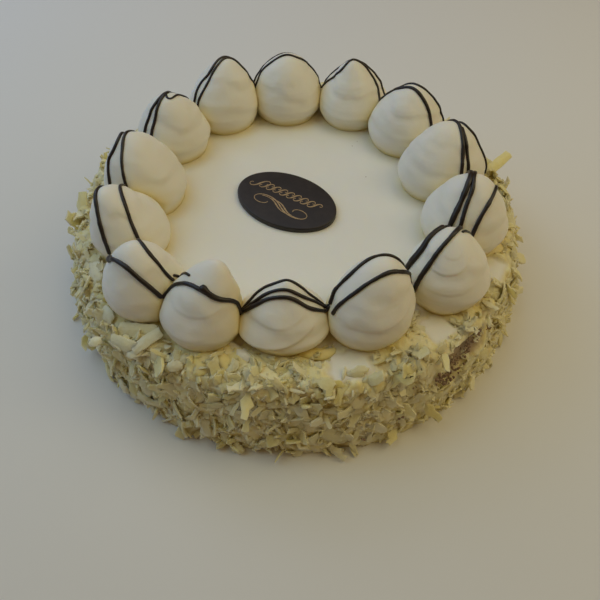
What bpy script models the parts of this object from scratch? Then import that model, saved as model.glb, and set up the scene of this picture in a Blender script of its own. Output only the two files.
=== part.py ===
"""Cream cake: a low round cake with a coat of shaved white chocolate, a ring of fourteen piped cream peaks
crossed by strands of dark chocolate, and an oval chocolate plaque. Metres, +Z up, origin under its middle."""

import math
import random
from dataclasses import dataclass

import bmesh
import bpy
from mathutils import Matrix, Vector
from mathutils.bvhtree import BVHTree

# Cake
TOP_HEIGHT = 0.042
FOOT_RADIUS = 0.1178
SHOULDER_RADIUS = 0.1074
SHOULDER_HEIGHT = 0.0360
TOP_EDGE_RADIUS = 0.1020
TOP_SHIFT = -0.0045
CAKE_STEPS = 60
CRAG_DEPTH = 0.0010

# Ring of peaks
RING_CENTRE = (0, -0.0054)
RING_RADIUS = 0.0800
PEAK_FOOT_SHARE = 0.86
PEAK_BELLY_HEIGHT = 0.30
PEAK_SIDES = 16
PEAK_RINGS = 8

# Strands of dark chocolate over the peaks
STRAND_POINTS = 7
STRAND_END_GAP = 0.0016
STRAND_SUNK = 0.25

# Oval plaque
PLAQUE_LENGTH = 0.0535
PLAQUE_WIDTH = 0.0364
PLAQUE_THICKNESS = 0.0026
PLAQUE_EDGE = 0.0006
PLAQUE_CENTRE = (-0.0050, -0.0055)
PLAQUE_TURN = math.radians(-30)
PLAQUE_SIDES = 36

# Shavings on the side and the rim
RIM_RADIUS = 0.0950
SHAVING_ROWS = 8
SHAVINGS_IN_ROW = 31
SHAVING_LENGTHS = (0.0095, 0.014)
SHAVING_WIDTHS = (0.007, 0.010)
SHAVING_TILTS = (0.14, 0.48)
RIM_SHAVING_SHARE = 0.70
BENT_SHAVING_EVERY = 7
SHAVING_THICKNESS = 0.0011
SHAVING_ROOT = 0.0004
SHAVING_CLEARANCE = 0.0004
LOWEST_SHAVING = 0.0004
SHAVING_SEED = 15

REST_GAP = 0.0003
MERGE = 0.000001


@dataclass(frozen=True)
class Peak:
    """One piped peak: its bearing on the ring, how far out it stands, its size and how its tip leans.

    The width runs round the ring and the depth across it, both as radii. The taper is 0 for a dome, 1 for a cone.
    """

    bearing: float
    out: float
    width: float
    depth: float
    height: float
    lean_out: float
    lean_side: float
    taper: float


@dataclass(frozen=True)
class Strand:
    """One strand of chocolate: its thickness, the peaks that it misses, and its distance from the ring's axis
    in millimetres, at each peak's tip and then at the valley after it."""

    thickness: float
    missing: tuple
    route: tuple


@dataclass(frozen=True)
class BarePatch:
    """A stretch of the side without shavings: its bearing, half its angle, and how far up the side it runs."""

    bearing: float
    half_angle: float
    low: float
    high: float


# Anticlockwise by bearing from the peak at the far side of the ring.
PEAKS = (
    Peak(95, 0.0005, 0.0202, 0.0205, 0.0310, 0.0020, -0.0010, 0.30),
    Peak(121, 0.0025, 0.0200, 0.0197, 0.0318, 0.0020, -0.0050, 0.36),
    Peak(147, -0.0010, 0.0190, 0.0187, 0.0300, 0.0005, -0.0010, 0.32),
    Peak(177.5, -0.0060, 0.0196, 0.0198, 0.0325, 0.0040, -0.0055, 0.33),
    Peak(200, 0.0000, 0.0192, 0.0175, 0.0299, 0.0060, -0.0035, 0.45),
    Peak(223, 0.0070, 0.0186, 0.0170, 0.0290, -0.0015, -0.0025, 0.47),
    Peak(243, 0.0030, 0.0180, 0.0162, 0.0302, -0.0105, 0.0036, 0.48),
    Peak(267, -0.0045, 0.0195, 0.0160, 0.0238, -0.0055, 0.0010, 0.70),
    Peak(293.5, -0.0020, 0.0188, 0.0168, 0.0312, -0.0045, 0.0065, 0.30),
    Peak(322, 0.0040, 0.0187, 0.0180, 0.0289, -0.0035, 0.0030, 0.37),
    Peak(346, 0.0010, 0.0194, 0.0200, 0.0306, 0.0000, 0.0047, 0.40),
    Peak(13, -0.0045, 0.0190, 0.0225, 0.0315, 0.0012, 0.0047, 0.35),
    Peak(42, -0.0010, 0.0200, 0.0205, 0.0305, 0.0017, 0.0000, 0.37),
    Peak(68, 0.0035, 0.0196, 0.0222, 0.0304, 0.0010, 0.0024, 0.69),
)
STRANDS = (
    Strand(
        thickness=0.0019,
        missing=(6,),
        route=(83, 80, 84, 81, 81.5, 80, 80.5, 79, 79.5, 79.5, 81.5, 81, 80, 76.5)
        + (69.5, 73.5, 68.5, 71, 72.5, 75.5, 77.5, 79.5, 81, 81, 80, 79.5, 84.5, 80),
    ),
    Strand(
        thickness=0.0020,
        missing=(),
        route=(87.5, 86, 87, 85, 82, 85.5, 83.5, 89, 90.5, 93, 92.5, 89, 83.5, 79)
        + (75, 77.5, 78, 79.5, 80, 85, 88.5, 94, 90, 93, 84.5, 85, 90, 87),
    ),
)
BARE_PATCHES = (
    BarePatch(bearing=-48, half_angle=7.5, low=0.026, high=0.040),
    BarePatch(bearing=-76, half_angle=6.5, low=0.044, high=0.060),
    BarePatch(bearing=-51, half_angle=4.5, low=0.044, high=0.060),
    BarePatch(bearing=-25, half_angle=4.5, low=0.041, high=0.060),
)

CREAM = (0.83, 0.80, 0.70)
WHITE_CHOCOLATE = (0.80, 0.73, 0.52)
DARK_CHOCOLATE = (0.028, 0.018, 0.014)


def clear_scene():
    """Remove every object that the file started with."""
    for old in list(bpy.data.objects):
        bpy.data.objects.remove(old)


def make_material(name, colour, roughness):
    """Return a Principled material of one colour."""
    material = bpy.data.materials.new(name)
    material.use_nodes = True
    shader = material.node_tree.nodes["Principled BSDF"]
    shader.inputs["Base Color"].default_value = (*colour, 1)
    shader.inputs["Roughness"].default_value = roughness
    shader.inputs["Metallic"].default_value = 0
    material.diffuse_color = (*colour, 1)
    return material


def add_object(name, mesh, collection, material=None):
    """Put a mesh in the scene as a named object."""
    obj = bpy.data.objects.new(name, mesh)
    collection.objects.link(obj)
    if material:
        mesh.materials.append(material)
    return obj


def mesh_from(bm, name):
    """Return a mesh made from a bmesh, which is then freed, with its faces turned outward."""
    mesh = bpy.data.meshes.new(name)
    if bm.calc_volume(signed=True) < 0:
        bmesh.ops.reverse_faces(bm, faces=bm.faces)
    bm.to_mesh(mesh)
    bm.free()
    return mesh


def apply_modifiers(obj):
    """Replace an object's mesh by what its modifiers make of it."""
    graph = bpy.context.evaluated_depsgraph_get()
    mesh = bpy.data.meshes.new_from_object(obj.evaluated_get(graph))
    obj.modifiers.clear()
    obj.data = mesh


def shell_of(face):
    """The faces that a walk over shared edges reaches from one face."""
    shell, front = {face}, [face]
    while front:
        for edge in front.pop().edges:
            for other in edge.link_faces:
                if other not in shell:
                    shell.add(other)
                    front.append(other)
    return shell


def keep_largest_shell(obj):
    """Drop loose scraps, and fill hollows that the join has sealed, by keeping only the largest outer shell."""
    bm = bmesh.new()
    bm.from_mesh(obj.data)
    left, shells = set(bm.faces), []
    while left:
        shells.append(shell_of(next(iter(left))))
        left -= shells[-1]
    shells.sort(key=len)
    spare = [face for shell in shells[:-1] for face in shell]
    bmesh.ops.delete(bm, geom=spare, context="FACES")
    bm.to_mesh(obj.data)
    bm.free()


def fuse(body, pieces):
    """Join a collection's objects to the body with one Boolean union, then remove them."""
    union = body.modifiers.new("union", "BOOLEAN")
    union.operation = "UNION"
    union.operand_type = "COLLECTION"
    union.collection = pieces
    union.solver = "MANIFOLD"
    apply_modifiers(body)
    for piece in list(pieces.objects):
        bpy.data.objects.remove(piece)
    bpy.data.collections.remove(pieces)
    keep_largest_shell(body)


def new_collection(name):
    """Return a collection linked to the scene."""
    collection = bpy.data.collections.new(name)
    bpy.context.scene.collection.children.link(collection)
    return collection


def cake_profile():
    """Points of the turned profile, from the middle of the top down to the middle of the base."""
    points = [(0, TOP_HEIGHT), (0.5 * TOP_EDGE_RADIUS, TOP_HEIGHT), (TOP_EDGE_RADIUS, TOP_HEIGHT)]
    for step in (1, 2, 3):
        turn = math.pi / 2 * step / 3
        radius = TOP_EDGE_RADIUS + (SHOULDER_RADIUS - TOP_EDGE_RADIUS) * math.sin(turn)
        height = SHOULDER_HEIGHT + (TOP_HEIGHT - SHOULDER_HEIGHT) * math.cos(turn)
        points.append((radius, height))
    for share in (0.75, 0.5, 0.25, 0):
        radius = FOOT_RADIUS + (SHOULDER_RADIUS - FOOT_RADIUS) * share**1.4
        points.append((radius, share * SHOULDER_HEIGHT))
    points.append((0, 0))
    return points


def make_cake(collection, material):
    """Turn the cake's body: flat foot, craggy side that leans in a little, rounded shoulder and flat top."""
    bm = bmesh.new()
    verts = [bm.verts.new((radius, 0, height)) for radius, height in cake_profile()]
    for first, second in zip(verts, verts[1:]):
        bm.edges.new((first, second))
    mesh = bpy.data.meshes.new("cake_body")
    bm.to_mesh(mesh)
    bm.free()
    cake = add_object("cake_body", mesh, collection, material)
    turn = cake.modifiers.new("turn", "SCREW")
    turn.axis = "Z"
    turn.angle = 2 * math.pi
    turn.steps = turn.render_steps = CAKE_STEPS
    turn.use_merge_vertices = True
    turn.merge_threshold = 0.00001
    apply_modifiers(cake)
    draw = random.Random(SHAVING_SEED)
    for vert in cake.data.vertices:
        radius = vert.co.xy.length
        if radius > TOP_EDGE_RADIUS + MERGE:
            vert.co.xy *= 1 + draw.uniform(-CRAG_DEPTH, CRAG_DEPTH) / radius
        vert.co.y += lean_at(vert.co.z)
    return cake


def lean_at(height):
    """How far the cake has slumped along Y at a height."""
    return TOP_SHIFT * height / TOP_HEIGHT


def side_stretches():
    """Stretches of the profile from the foot up the side, over the shoulder and onto the rim."""
    points = [Vector(point) for point in reversed(cake_profile()) if point[0] >= TOP_EDGE_RADIUS]
    points.append(Vector((RIM_RADIUS, TOP_HEIGHT)))
    return list(zip(points, points[1:]))


def side_frame(bearing, way):
    """Matrix whose X runs round the cake, Y up its side and Z out of it, at a distance up the side."""
    for start, end in side_stretches():
        if way <= (end - start).length:
            break
        way -= (end - start).length
    slope = (end - start).normalized()
    spot = start + slope * way
    outward = outward_of(bearing)
    around = Vector((-outward.y, outward.x, 0))
    up = outward * slope.x + Vector((0, 0, slope.y))
    frame = Matrix((around, up, around.cross(up))).transposed().to_4x4()
    frame.translation = outward * spot.x + Vector((0, lean_at(spot.y), spot.y))
    return frame


def draw_shaving(draw, bends, share):
    """An irregular shaving along X, tilted out of XY: a plate bent across its middle, or a wedge thin at its tip."""
    length, width = share * draw.uniform(*SHAVING_LENGTHS), share * draw.uniform(*SHAVING_WIDTHS)
    turn, tilt = draw.uniform(0, 2 * math.pi), draw.uniform(*SHAVING_TILTS)
    curl, skew = draw.uniform(0.06, 0.16), draw.uniform(-0.35, 0.35)
    ends = (draw.uniform(0.4, 1), draw.uniform(0.4, 1))
    bm = bmesh.new()
    bmesh.ops.create_grid(bm, x_segments=2 if bends else 1, y_segments=1, size=0.5)
    for vert in bm.verts:
        along, across = vert.co.x, vert.co.y * width
        narrowing = 1 if abs(along) < 0.1 else ends[along > 0]
        vert.co.x = along * length + skew * across
        vert.co.y = across * narrowing
        vert.co.z = -4 * curl * length * along * along if bends else 0
    bmesh.ops.solidify(bm, geom=bm.faces[:], thickness=SHAVING_THICKNESS * (1 if bends else 2))
    if not bends:
        for vert in bm.verts:
            if vert.co.x > 0.2 * length:
                vert.co.z = 0
        bmesh.ops.remove_doubles(bm, verts=bm.verts, dist=MERGE)
    reach = Matrix.Translation((length / 2 - SHAVING_ROOT / math.sin(tilt), 0, 0))
    lift = Matrix.Rotation(turn, 4, "Z") @ Matrix.Rotation(-tilt, 4, "Y")
    bmesh.ops.transform(bm, matrix=lift @ reach, verts=bm.verts)
    return mesh_from(bm, "shaving")


def is_bare(bearing, way):
    """Whether a place on the side is in a patch where the shavings are missing."""
    for patch in BARE_PATCHES:
        away = abs((math.degrees(bearing) - patch.bearing + 180) % 360 - 180)
        if away < patch.half_angle and patch.low < way < patch.high:
            return True
    return False


def tree_of(meshes):
    """One search tree over the faces of several meshes."""
    bm = bmesh.new()
    for mesh in meshes:
        bm.from_mesh(mesh)
    tree = BVHTree.FromBMesh(bm)
    bm.free()
    return tree


def is_clear(mesh, tree):
    """Whether a shaving keeps its distance from the peaks."""
    if tree_of([mesh]).overlap(tree):
        return False
    places = [vert.co for vert in mesh.vertices] + [face.center for face in mesh.polygons]
    return all(tree.find_nearest(place)[3] > SHAVING_CLEARANCE for place in places)


def add_shavings(cake, peaks):
    """Stick shavings all round the side, in staggered rows, each turned and tilted its own way, and fuse them."""
    draw = random.Random(SHAVING_SEED)
    tree = tree_of([peak.data for peak in peaks])
    side = sum((end - start).length for start, end in side_stretches())
    pieces = new_collection("shavings")
    for row in range(SHAVING_ROWS):
        share = 1 - (1 - RIM_SHAVING_SHARE) * row / (SHAVING_ROWS - 1)
        for place in range(SHAVINGS_IN_ROW):
            around = place + 0.5 * (row % 2) + draw.uniform(-0.3, 0.3)
            bearing = 2 * math.pi * around / SHAVINGS_IN_ROW
            way = side * (row + 0.5 + draw.uniform(-0.35, 0.35)) / SHAVING_ROWS
            mesh = draw_shaving(draw, place % BENT_SHAVING_EVERY == 0, share)
            mesh.transform(side_frame(bearing, way))
            for vert in mesh.vertices:
                vert.co.z = max(vert.co.z, LOWEST_SHAVING)
            if is_clear(mesh, tree) and not is_bare(bearing, way):
                add_object("shaving", mesh, pieces)
    fuse(cake, pieces)


def outward_of(bearing):
    """Unit vector from the ring's axis towards a bearing."""
    return Vector((math.cos(bearing), math.sin(bearing), 0))


def peak_centre(peak):
    """Middle of a peak's foot, on the cake's top."""
    centre = outward_of(math.radians(peak.bearing)) * (RING_RADIUS + peak.out)
    return centre + Vector((*RING_CENTRE, TOP_HEIGHT + REST_GAP))


def peak_reach(share, taper):
    """Radius of a peak as a share of its widest, from its foot at 0 to its tip at 1."""
    if share < PEAK_BELLY_HEIGHT:
        swell = math.sin(math.pi / 2 * share / PEAK_BELLY_HEIGHT)
        return PEAK_FOOT_SHARE + (1 - PEAK_FOOT_SHARE) * swell
    rise = (share - PEAK_BELLY_HEIGHT) / (1 - PEAK_BELLY_HEIGHT)
    dome = math.sqrt(max(0, 1 - rise**2.1))
    cone = 1 - rise**1.1
    return dome * (1 - taper) + cone * taper


def press(bm, peak, neighbour):
    """Flatten the side of a peak that a neighbour presses on, half the gap short of the middle between them."""
    centre = peak_centre(peak)
    towards = peak_centre(neighbour) - centre
    room = towards.length * peak.width / (peak.width + neighbour.width) - REST_GAP / 2
    towards.normalize()
    for vert in bm.verts:
        over = (vert.co - centre).dot(towards) - room
        if over > 0:
            vert.co -= towards * over


def shaped_peak(peak, before, after):
    """A piped peak: a sphere reshaped to a belly and a leaning tip, flattened by its two neighbours."""
    bm = bmesh.new()
    bmesh.ops.create_uvsphere(bm, u_segments=PEAK_SIDES, v_segments=PEAK_RINGS, radius=1)
    centre = peak_centre(peak)
    outward = outward_of(math.radians(peak.bearing))
    aside = Vector((-outward.y, outward.x, 0))
    foot = math.pi / PEAK_RINGS * 1.01
    for vert in bm.verts:
        polar = math.acos(max(-1, min(1, -vert.co.z)))
        flat = vert.co.xy.normalized() if vert.co.xy.length > MERGE else Vector((0, 0))
        share = max(0, (polar - foot) / (math.pi - foot))
        reach = peak_reach(share, peak.taper) if polar > foot else PEAK_FOOT_SHARE * polar / foot
        lean = share * share
        vert.co = centre + outward * (flat.x * reach * peak.depth + peak.lean_out * lean)
        vert.co += aside * (flat.y * reach * peak.width + peak.lean_side * lean)
        vert.co.z += peak.height * share
    press(bm, peak, before)
    press(bm, peak, after)
    return bm


def angle_to(peak, other):
    """Angle from one peak to another round the ring, at most half a turn either way."""
    return math.radians((other.bearing - peak.bearing + 180) % 360 - 180)


def strand_path(strand, tree, index, before, after):
    """Points of a strand draped over one peak, ending short of both neighbours."""
    peak, tip = PEAKS[index], 2 * index
    stops = (strand.route[tip - 1] / 1000, strand.route[tip] / 1000, strand.route[tip + 1] / 1000)
    angles = (angle_to(peak, before) / 2, angle_to(peak, after) / 2)
    trim = STRAND_END_GAP / RING_RADIUS
    points = []
    for step in range(STRAND_POINTS):
        share = 2 * step / (STRAND_POINTS - 1) - 1
        side = 2 if share > 0 else 0
        ease = share * share * (3 - 2 * abs(share))
        radius = stops[1] + (stops[side] - stops[1]) * ease
        angle = (angles[1] - trim) * share if share > 0 else -(angles[0] + trim) * share
        above = outward_of(math.radians(peak.bearing) + angle) * radius
        above += Vector((*RING_CENTRE, TOP_HEIGHT + 2 * peak.height))
        hit = tree.ray_cast(above, Vector((0, 0, -1)))[0]
        if hit:
            points.append(hit + Vector((0, 0, strand.thickness * STRAND_SUNK)))
    return points


def strand_piece(points, thickness, collection):
    """A strand as a closed tube through its points."""
    curve = bpy.data.curves.new("strand", "CURVE")
    curve.dimensions = "3D"
    curve.bevel_depth = thickness / 2
    curve.bevel_resolution = 0
    curve.use_fill_caps = True
    spline = curve.splines.new("POLY")
    spline.points.add(len(points) - 1)
    for point, place in zip(spline.points, points):
        point.co = (*place, 1)
    guide = bpy.data.objects.new("strand_guide", curve)
    collection.objects.link(guide)
    graph = bpy.context.evaluated_depsgraph_get()
    mesh = bpy.data.meshes.new_from_object(guide.evaluated_get(graph))
    bpy.data.objects.remove(guide)
    bm = bmesh.new()
    bm.from_mesh(mesh)
    bmesh.ops.remove_doubles(bm, verts=bm.verts, dist=MERGE)
    add_object("strand", mesh_from(bm, "strand"), collection)


def make_peak(index, collection, material):
    """One cream peak with the strands that cross it fused on."""
    before, after = PEAKS[index - 1], PEAKS[(index + 1) % len(PEAKS)]
    mesh = mesh_from(shaped_peak(PEAKS[index], before, after), f"cream_peak_{index + 1:02d}")
    obj = add_object(mesh.name, mesh, collection, material)
    tree = tree_of([mesh])
    pieces = new_collection("strands")
    for strand in STRANDS:
        if index not in strand.missing:
            points = strand_path(strand, tree, index, before, after)
            strand_piece(points, strand.thickness, pieces)
    fuse(obj, pieces)
    return obj


def make_plaque(collection, material):
    """The oval chocolate plaque, with rounded edges, lying on the cake's top."""
    bm = bmesh.new()
    bmesh.ops.create_cone(
        bm,
        cap_ends=True,
        segments=PLAQUE_SIDES,
        radius1=0.5,
        radius2=0.5,
        depth=PLAQUE_THICKNESS,
    )
    bmesh.ops.scale(bm, verts=bm.verts, vec=(PLAQUE_LENGTH, PLAQUE_WIDTH, 1))
    plaque = add_object("chocolate_plaque", mesh_from(bm, "chocolate_plaque"), collection, material)
    edge = plaque.modifiers.new("edge", "BEVEL")
    edge.width = PLAQUE_EDGE
    edge.segments = 2
    edge.limit_method = "ANGLE"
    edge.angle_limit = math.radians(60)
    plaque.location = (*PLAQUE_CENTRE, TOP_HEIGHT + REST_GAP + PLAQUE_THICKNESS / 2)
    plaque.rotation_euler = (0, 0, PLAQUE_TURN)
    return plaque


def main():
    """Build the cake, its peaks and its plaque."""
    clear_scene()
    collection = new_collection("cream_cake")
    cream = make_material("cream", CREAM, 0.5)
    shavings = make_material("white_chocolate", WHITE_CHOCOLATE, 0.55)
    chocolate = make_material("dark_chocolate", DARK_CHOCOLATE, 0.4)
    cake = make_cake(collection, shavings)
    peaks = [make_peak(index, collection, cream) for index in range(len(PEAKS))]
    add_shavings(cake, peaks)
    make_plaque(collection, chocolate)
    for obj in collection.objects:
        obj.data.shade_smooth()
        obj.data.set_sharp_from_angle(angle=math.radians(40))


main()
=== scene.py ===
"""Looks of a cream cake: its smooth cream top, a coat of shaved white chocolate, fourteen piped cream peaks
crossed by strands of dark chocolate, and an oval chocolate plaque.

Metres, +Z up, origin under the cake's middle."""

import logging
import math
import random
from dataclasses import dataclass
from enum import Enum
from typing import Any, Iterable, Mapping, Sequence, Union

import bmesh
import bpy
import numpy as np
from mathutils import Matrix, Vector, noise
from mathutils.bvhtree import BVHTree


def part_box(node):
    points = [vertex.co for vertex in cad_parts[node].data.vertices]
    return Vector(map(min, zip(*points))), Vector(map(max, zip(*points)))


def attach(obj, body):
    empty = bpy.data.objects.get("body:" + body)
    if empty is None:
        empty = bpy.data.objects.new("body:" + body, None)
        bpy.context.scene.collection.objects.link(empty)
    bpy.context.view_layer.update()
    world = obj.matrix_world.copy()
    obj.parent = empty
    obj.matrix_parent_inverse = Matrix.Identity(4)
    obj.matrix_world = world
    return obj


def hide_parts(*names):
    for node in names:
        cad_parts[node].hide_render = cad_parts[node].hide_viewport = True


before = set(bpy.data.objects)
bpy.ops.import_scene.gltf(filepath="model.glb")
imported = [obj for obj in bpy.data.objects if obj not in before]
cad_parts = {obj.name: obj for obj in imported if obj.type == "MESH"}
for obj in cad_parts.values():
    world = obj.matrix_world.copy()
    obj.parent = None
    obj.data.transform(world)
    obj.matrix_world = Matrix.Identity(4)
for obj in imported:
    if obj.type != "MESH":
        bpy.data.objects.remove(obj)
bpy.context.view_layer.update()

BODY = "root"
REST_GAP = 0.0003
UP = Vector((0, 0, 1))
MM = 0.001
FULL_TURN = 2 * math.pi
QUARTER = math.pi / 2

log = logging.getLogger("cream_cake")

Colour = tuple[float, float, float]
Place = tuple[float, float, float]
Range = tuple[float, float]
Faces = list[tuple[int, ...]]
Number = Union[float, "Signal"]


class Slot(Enum):
    """The record's material slots."""

    SHAVINGS = "shavings"
    CREAM = "cream"
    CHOCOLATE = "chocolate"


class Signal:
    """An output of a material's graph. Arithmetic on it adds Math nodes."""

    def __init__(self, graph: "Graph", socket: bpy.types.NodeSocket) -> None:
        """Wrap an output of a graph."""
        self.graph, self.socket = graph, socket

    def __add__(self, other: Number) -> "Signal":
        """Sum of two values."""
        return self.graph.maths("ADD", self, other)

    def __sub__(self, other: Number) -> "Signal":
        """This value less another."""
        return self.graph.maths("SUBTRACT", self, other)

    def __rsub__(self, other: Number) -> "Signal":
        """Another value less this one."""
        return self.graph.maths("SUBTRACT", other, self)

    def __mul__(self, other: Number) -> "Signal":
        """Product of two values."""
        return self.graph.maths("MULTIPLY", self, other)

    __radd__, __rmul__ = __add__, __mul__

    def kept(self) -> "Signal":
        """The value held between 0 and 1."""
        return self.graph.maths("ADD", self, 0.0, clamp=True)


class Graph:
    """The node graph of one material, round its Principled shader."""

    def __init__(self, name: str) -> None:
        """Make an empty material.

        Args:
            name: The material's name.
        """
        self.material = bpy.data.materials.new(name)
        self.material.use_nodes = True
        self.tree = self.material.node_tree
        self.shader = self.tree.nodes["Principled BSDF"]

    def add(
        self, kind: str, settings: Mapping[str, Any], sockets: Mapping[Any, Any], output: Any = 0
    ) -> Signal:
        """Add a node.

        Args:
            kind: The node's type.
            settings: Its properties, which are set first.
            sockets: Values or signals for its inputs, by name or number.
            output: Name or number of the output to return.

        Returns:
            The chosen output.
        """
        node = self.tree.nodes.new(kind)
        for name, value in settings.items():
            setattr(node, name, value)
        for key, value in sockets.items():
            self.feed(node.inputs[key], value)
        return Signal(self, node.outputs[output])

    def feed(self, socket: bpy.types.NodeSocket, value: Any) -> None:
        """Link or set an input.

        Args:
            socket: The input.
            value: A signal, a number, a vector or a colour.
        """
        if isinstance(value, Signal):
            self.tree.links.new(value.socket, socket)
        else:
            socket.default_value = (*value, 1.0) if socket.type == "RGBA" else value

    def maths(self, operation: str, first: Number, second: Number, clamp: bool = False) -> Signal:
        """Add a Math node, whose result a clamp holds between 0 and 1."""
        return self.add("ShaderNodeMath", {"operation": operation, "use_clamp": clamp}, {0: first, 1: second})

    def mix(self, share: Number, first: Colour | Signal, second: Colour | Signal) -> Signal:
        """Blend two colours, with this share of the second."""
        return self.add("ShaderNodeMix", {"data_type": "RGBA"}, {0: share, 6: first, 7: second}, 2)

    def mottle(self, size: float, detail: float = 3.0, rough: float = 0.5) -> Signal:
        """Smooth noise.

        Args:
            size: Size of its blotches, in metres.
            detail: How many finer layers it has.
            rough: How strong they are.

        Returns:
            A value from 0 to 1.
        """
        place = self.add("ShaderNodeTexCoord", {}, {}, "Object")
        sockets = {"Vector": place, "Scale": 1 / size, "Detail": detail, "Roughness": rough}
        return self.add("ShaderNodeTexNoise", {}, sockets)

    def painted(self, name: str) -> Signal:
        """A value stored on the mesh."""
        return self.add("ShaderNodeAttribute", {"attribute_name": name}, {}, "Fac")

    def relief(self, height: Signal, depth: float) -> None:
        """Bump the surface by a height from 0 to 1 times a depth in metres."""
        bump = self.add("ShaderNodeBump", {}, {"Strength": 1.0, "Distance": depth, "Height": height})
        self.feed(self.shader.inputs["Normal"], bump)

    def finish(self, **values: Any) -> bpy.types.Material:
        """Set the shader's own sockets.

        Args:
            **values: Values or signals by socket name, with _ for a space.

        Returns:
            The material.
        """
        for name, value in values.items():
            self.feed(self.shader.inputs[name.replace("_", " ").title().replace("Ior", "IOR")], value)
        return self.material


@dataclass(frozen=True)
class CreamFinish:
    """Whipped cream: pale and matte, with painted warm shade in its hollows."""

    name: str
    light: Colour = (0.88, 0.86, 0.79)
    ivory: Colour = (0.86, 0.83, 0.73)
    # colour of the painted warm shade in hollows, creases and at the feet of the peaks
    painted_shade_colour: Colour = (0.84, 0.70, 0.29)
    roughness: float = 0.46
    grain: float = 0.00010

    def material(self) -> bpy.types.Material:
        """Make the material."""
        graph = Graph(self.name)
        hollow, blotches = graph.painted("hollow"), graph.mottle(0.016, 4.0)
        open_cream = graph.mix((blotches - 0.5) * 0.6 + 0.3, self.light, self.ivory)
        # share of painted warm shade, from the value stored on the mesh, made patchy by the blotches
        painted_warmth = hollow * 0.95 + (blotches - 0.5) * hollow * 0.5
        graph.relief(graph.mottle(0.0016, 3.0, 0.6) * 0.6 + graph.mottle(0.007, 2.0) * 0.8, self.grain)
        return graph.finish(
            base_color=graph.mix(painted_warmth.kept(), open_cream, self.painted_shade_colour),
            roughness=self.roughness + (graph.mottle(0.004) - 0.5) * 0.15,
            subsurface_weight=0.30,
            subsurface_radius=(1.0, 0.75, 0.45),
            subsurface_scale=0.0035,
            specular_ior_level=0.35,
        )


@dataclass(frozen=True)
class ShavingFinish:
    """White chocolate, from ivory to butter yellow."""

    name: str
    pale: Colour = (0.90, 0.85, 0.60)
    buttery: Colour = (0.80, 0.68, 0.27)
    roughness: float = 0.48
    grain: float = 0.00030

    def colour(self, graph: Graph, streaks: Signal) -> Signal:
        """Colour of each shaving's own tone, streaked."""
        share = graph.painted("tone") * 0.8 + (streaks - 0.5) * 0.5 + 0.1
        return graph.mix(share.kept(), self.pale, self.buttery)

    def material(self) -> bpy.types.Material:
        """Make the material."""
        graph = Graph(self.name)
        streaks = graph.mottle(0.0022, 3.0, 0.6)
        graph.relief(graph.mottle(0.0008, 3.0, 0.65) * 0.7 + graph.mottle(0.0024, 3.0, 0.6), self.grain)
        return graph.finish(
            base_color=self.colour(graph, streaks),
            roughness=self.roughness + (streaks - 0.5) * 0.25,
            subsurface_weight=0.60,
            subsurface_radius=(1.0, 0.95, 0.75),
            subsurface_scale=0.0035,
            specular_ior_level=0.35,
        )


@dataclass(frozen=True)
class CoatFinish:
    """The cake's own coat: smooth cream on top, and white chocolate pressed in cream on the side."""

    name: str
    cream: Colour = (0.86, 0.85, 0.81)
    ivory: Colour = (0.86, 0.83, 0.74)
    # colour of the painted warm shade on the top near the peaks
    painted_shade_colour: Colour = (0.82, 0.71, 0.38)
    flakes: ShavingFinish = ShavingFinish("pressed_in")
    # colour of the painted shade between the shavings, where the crust lies low
    deep: Colour = (0.62, 0.51, 0.27)
    sponge: Colour = (0.46, 0.35, 0.23)
    specks: Colour = (0.12, 0.07, 0.04)
    grain: float = 0.0005

    def material(self) -> bpy.types.Material:
        """Make the material."""
        graph = Graph(self.name)
        shaved = graph.painted("side")
        top = graph.mix((graph.mottle(0.02, 4.0) - 0.5) * 0.6 + 0.3, self.cream, self.ivory)
        # painted warm shade on the top near the feet of the peaks
        top = graph.mix(graph.painted("hollow"), top, self.painted_shade_colour)
        flakes = self.flakes.colour(graph, graph.mottle(0.0026, 3.0, 0.6))
        # painted shade in the crevices of the crust
        side = graph.mix(graph.painted("rise"), self.deep, flakes)
        crumb = graph.mix(((graph.mottle(0.0022, 3.0, 0.7) - 0.55) * 9.0).kept(), self.sponge, self.specks)
        side = graph.mix(graph.painted("sponge"), side, crumb)
        height = graph.mottle(0.0035, 3.0) * 0.2 + graph.mottle(0.0010, 3.0, 0.6) * (shaved * 0.45 + 0.04)
        graph.relief(height, self.grain)
        return graph.finish(
            base_color=graph.mix(shaved, top, side),
            roughness=0.48 + shaved * 0.12,
            subsurface_weight=0.3,
            subsurface_radius=(1.0, 0.8, 0.4),
            subsurface_scale=0.003,
            specular_ior_level=0.35,
        )


@dataclass(frozen=True)
class ChocolateFinish:
    """Dark chocolate with a faint bloom."""

    name: str
    roughness: float = 0.36
    dark: Colour = (0.014, 0.009, 0.008)
    bloom: Colour = (0.030, 0.021, 0.018)

    def material(self) -> bpy.types.Material:
        """Make the material."""
        graph = Graph(self.name)
        cloud = graph.mottle(0.006, 4.0, 0.6)
        graph.relief(graph.mottle(0.0025, 3.0), 0.00008)
        return graph.finish(
            base_color=graph.mix(((cloud - 0.4) * 2.5).kept(), self.dark, self.bloom),
            roughness=self.roughness + (cloud - 0.5) * 0.2,
            specular_ior_level=0.45,
        )


@dataclass(frozen=True)
class GoldFinish:
    """Gold ink, worn thin in places."""

    name: str
    bright: Colour = (0.56, 0.40, 0.21)
    worn: Colour = (0.27, 0.18, 0.10)

    def material(self) -> bpy.types.Material:
        """Make the material."""
        graph = Graph(self.name)
        wear = graph.mottle(0.0012, 4.0, 0.7)
        graph.relief(graph.mottle(0.0005, 2.0), 0.00003)
        colour = graph.mix(((wear - 0.35) * 2.5).kept(), self.bright, self.worn)
        return graph.finish(base_color=colour, roughness=0.38 + wear * 0.2, metallic=0.55)


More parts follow.
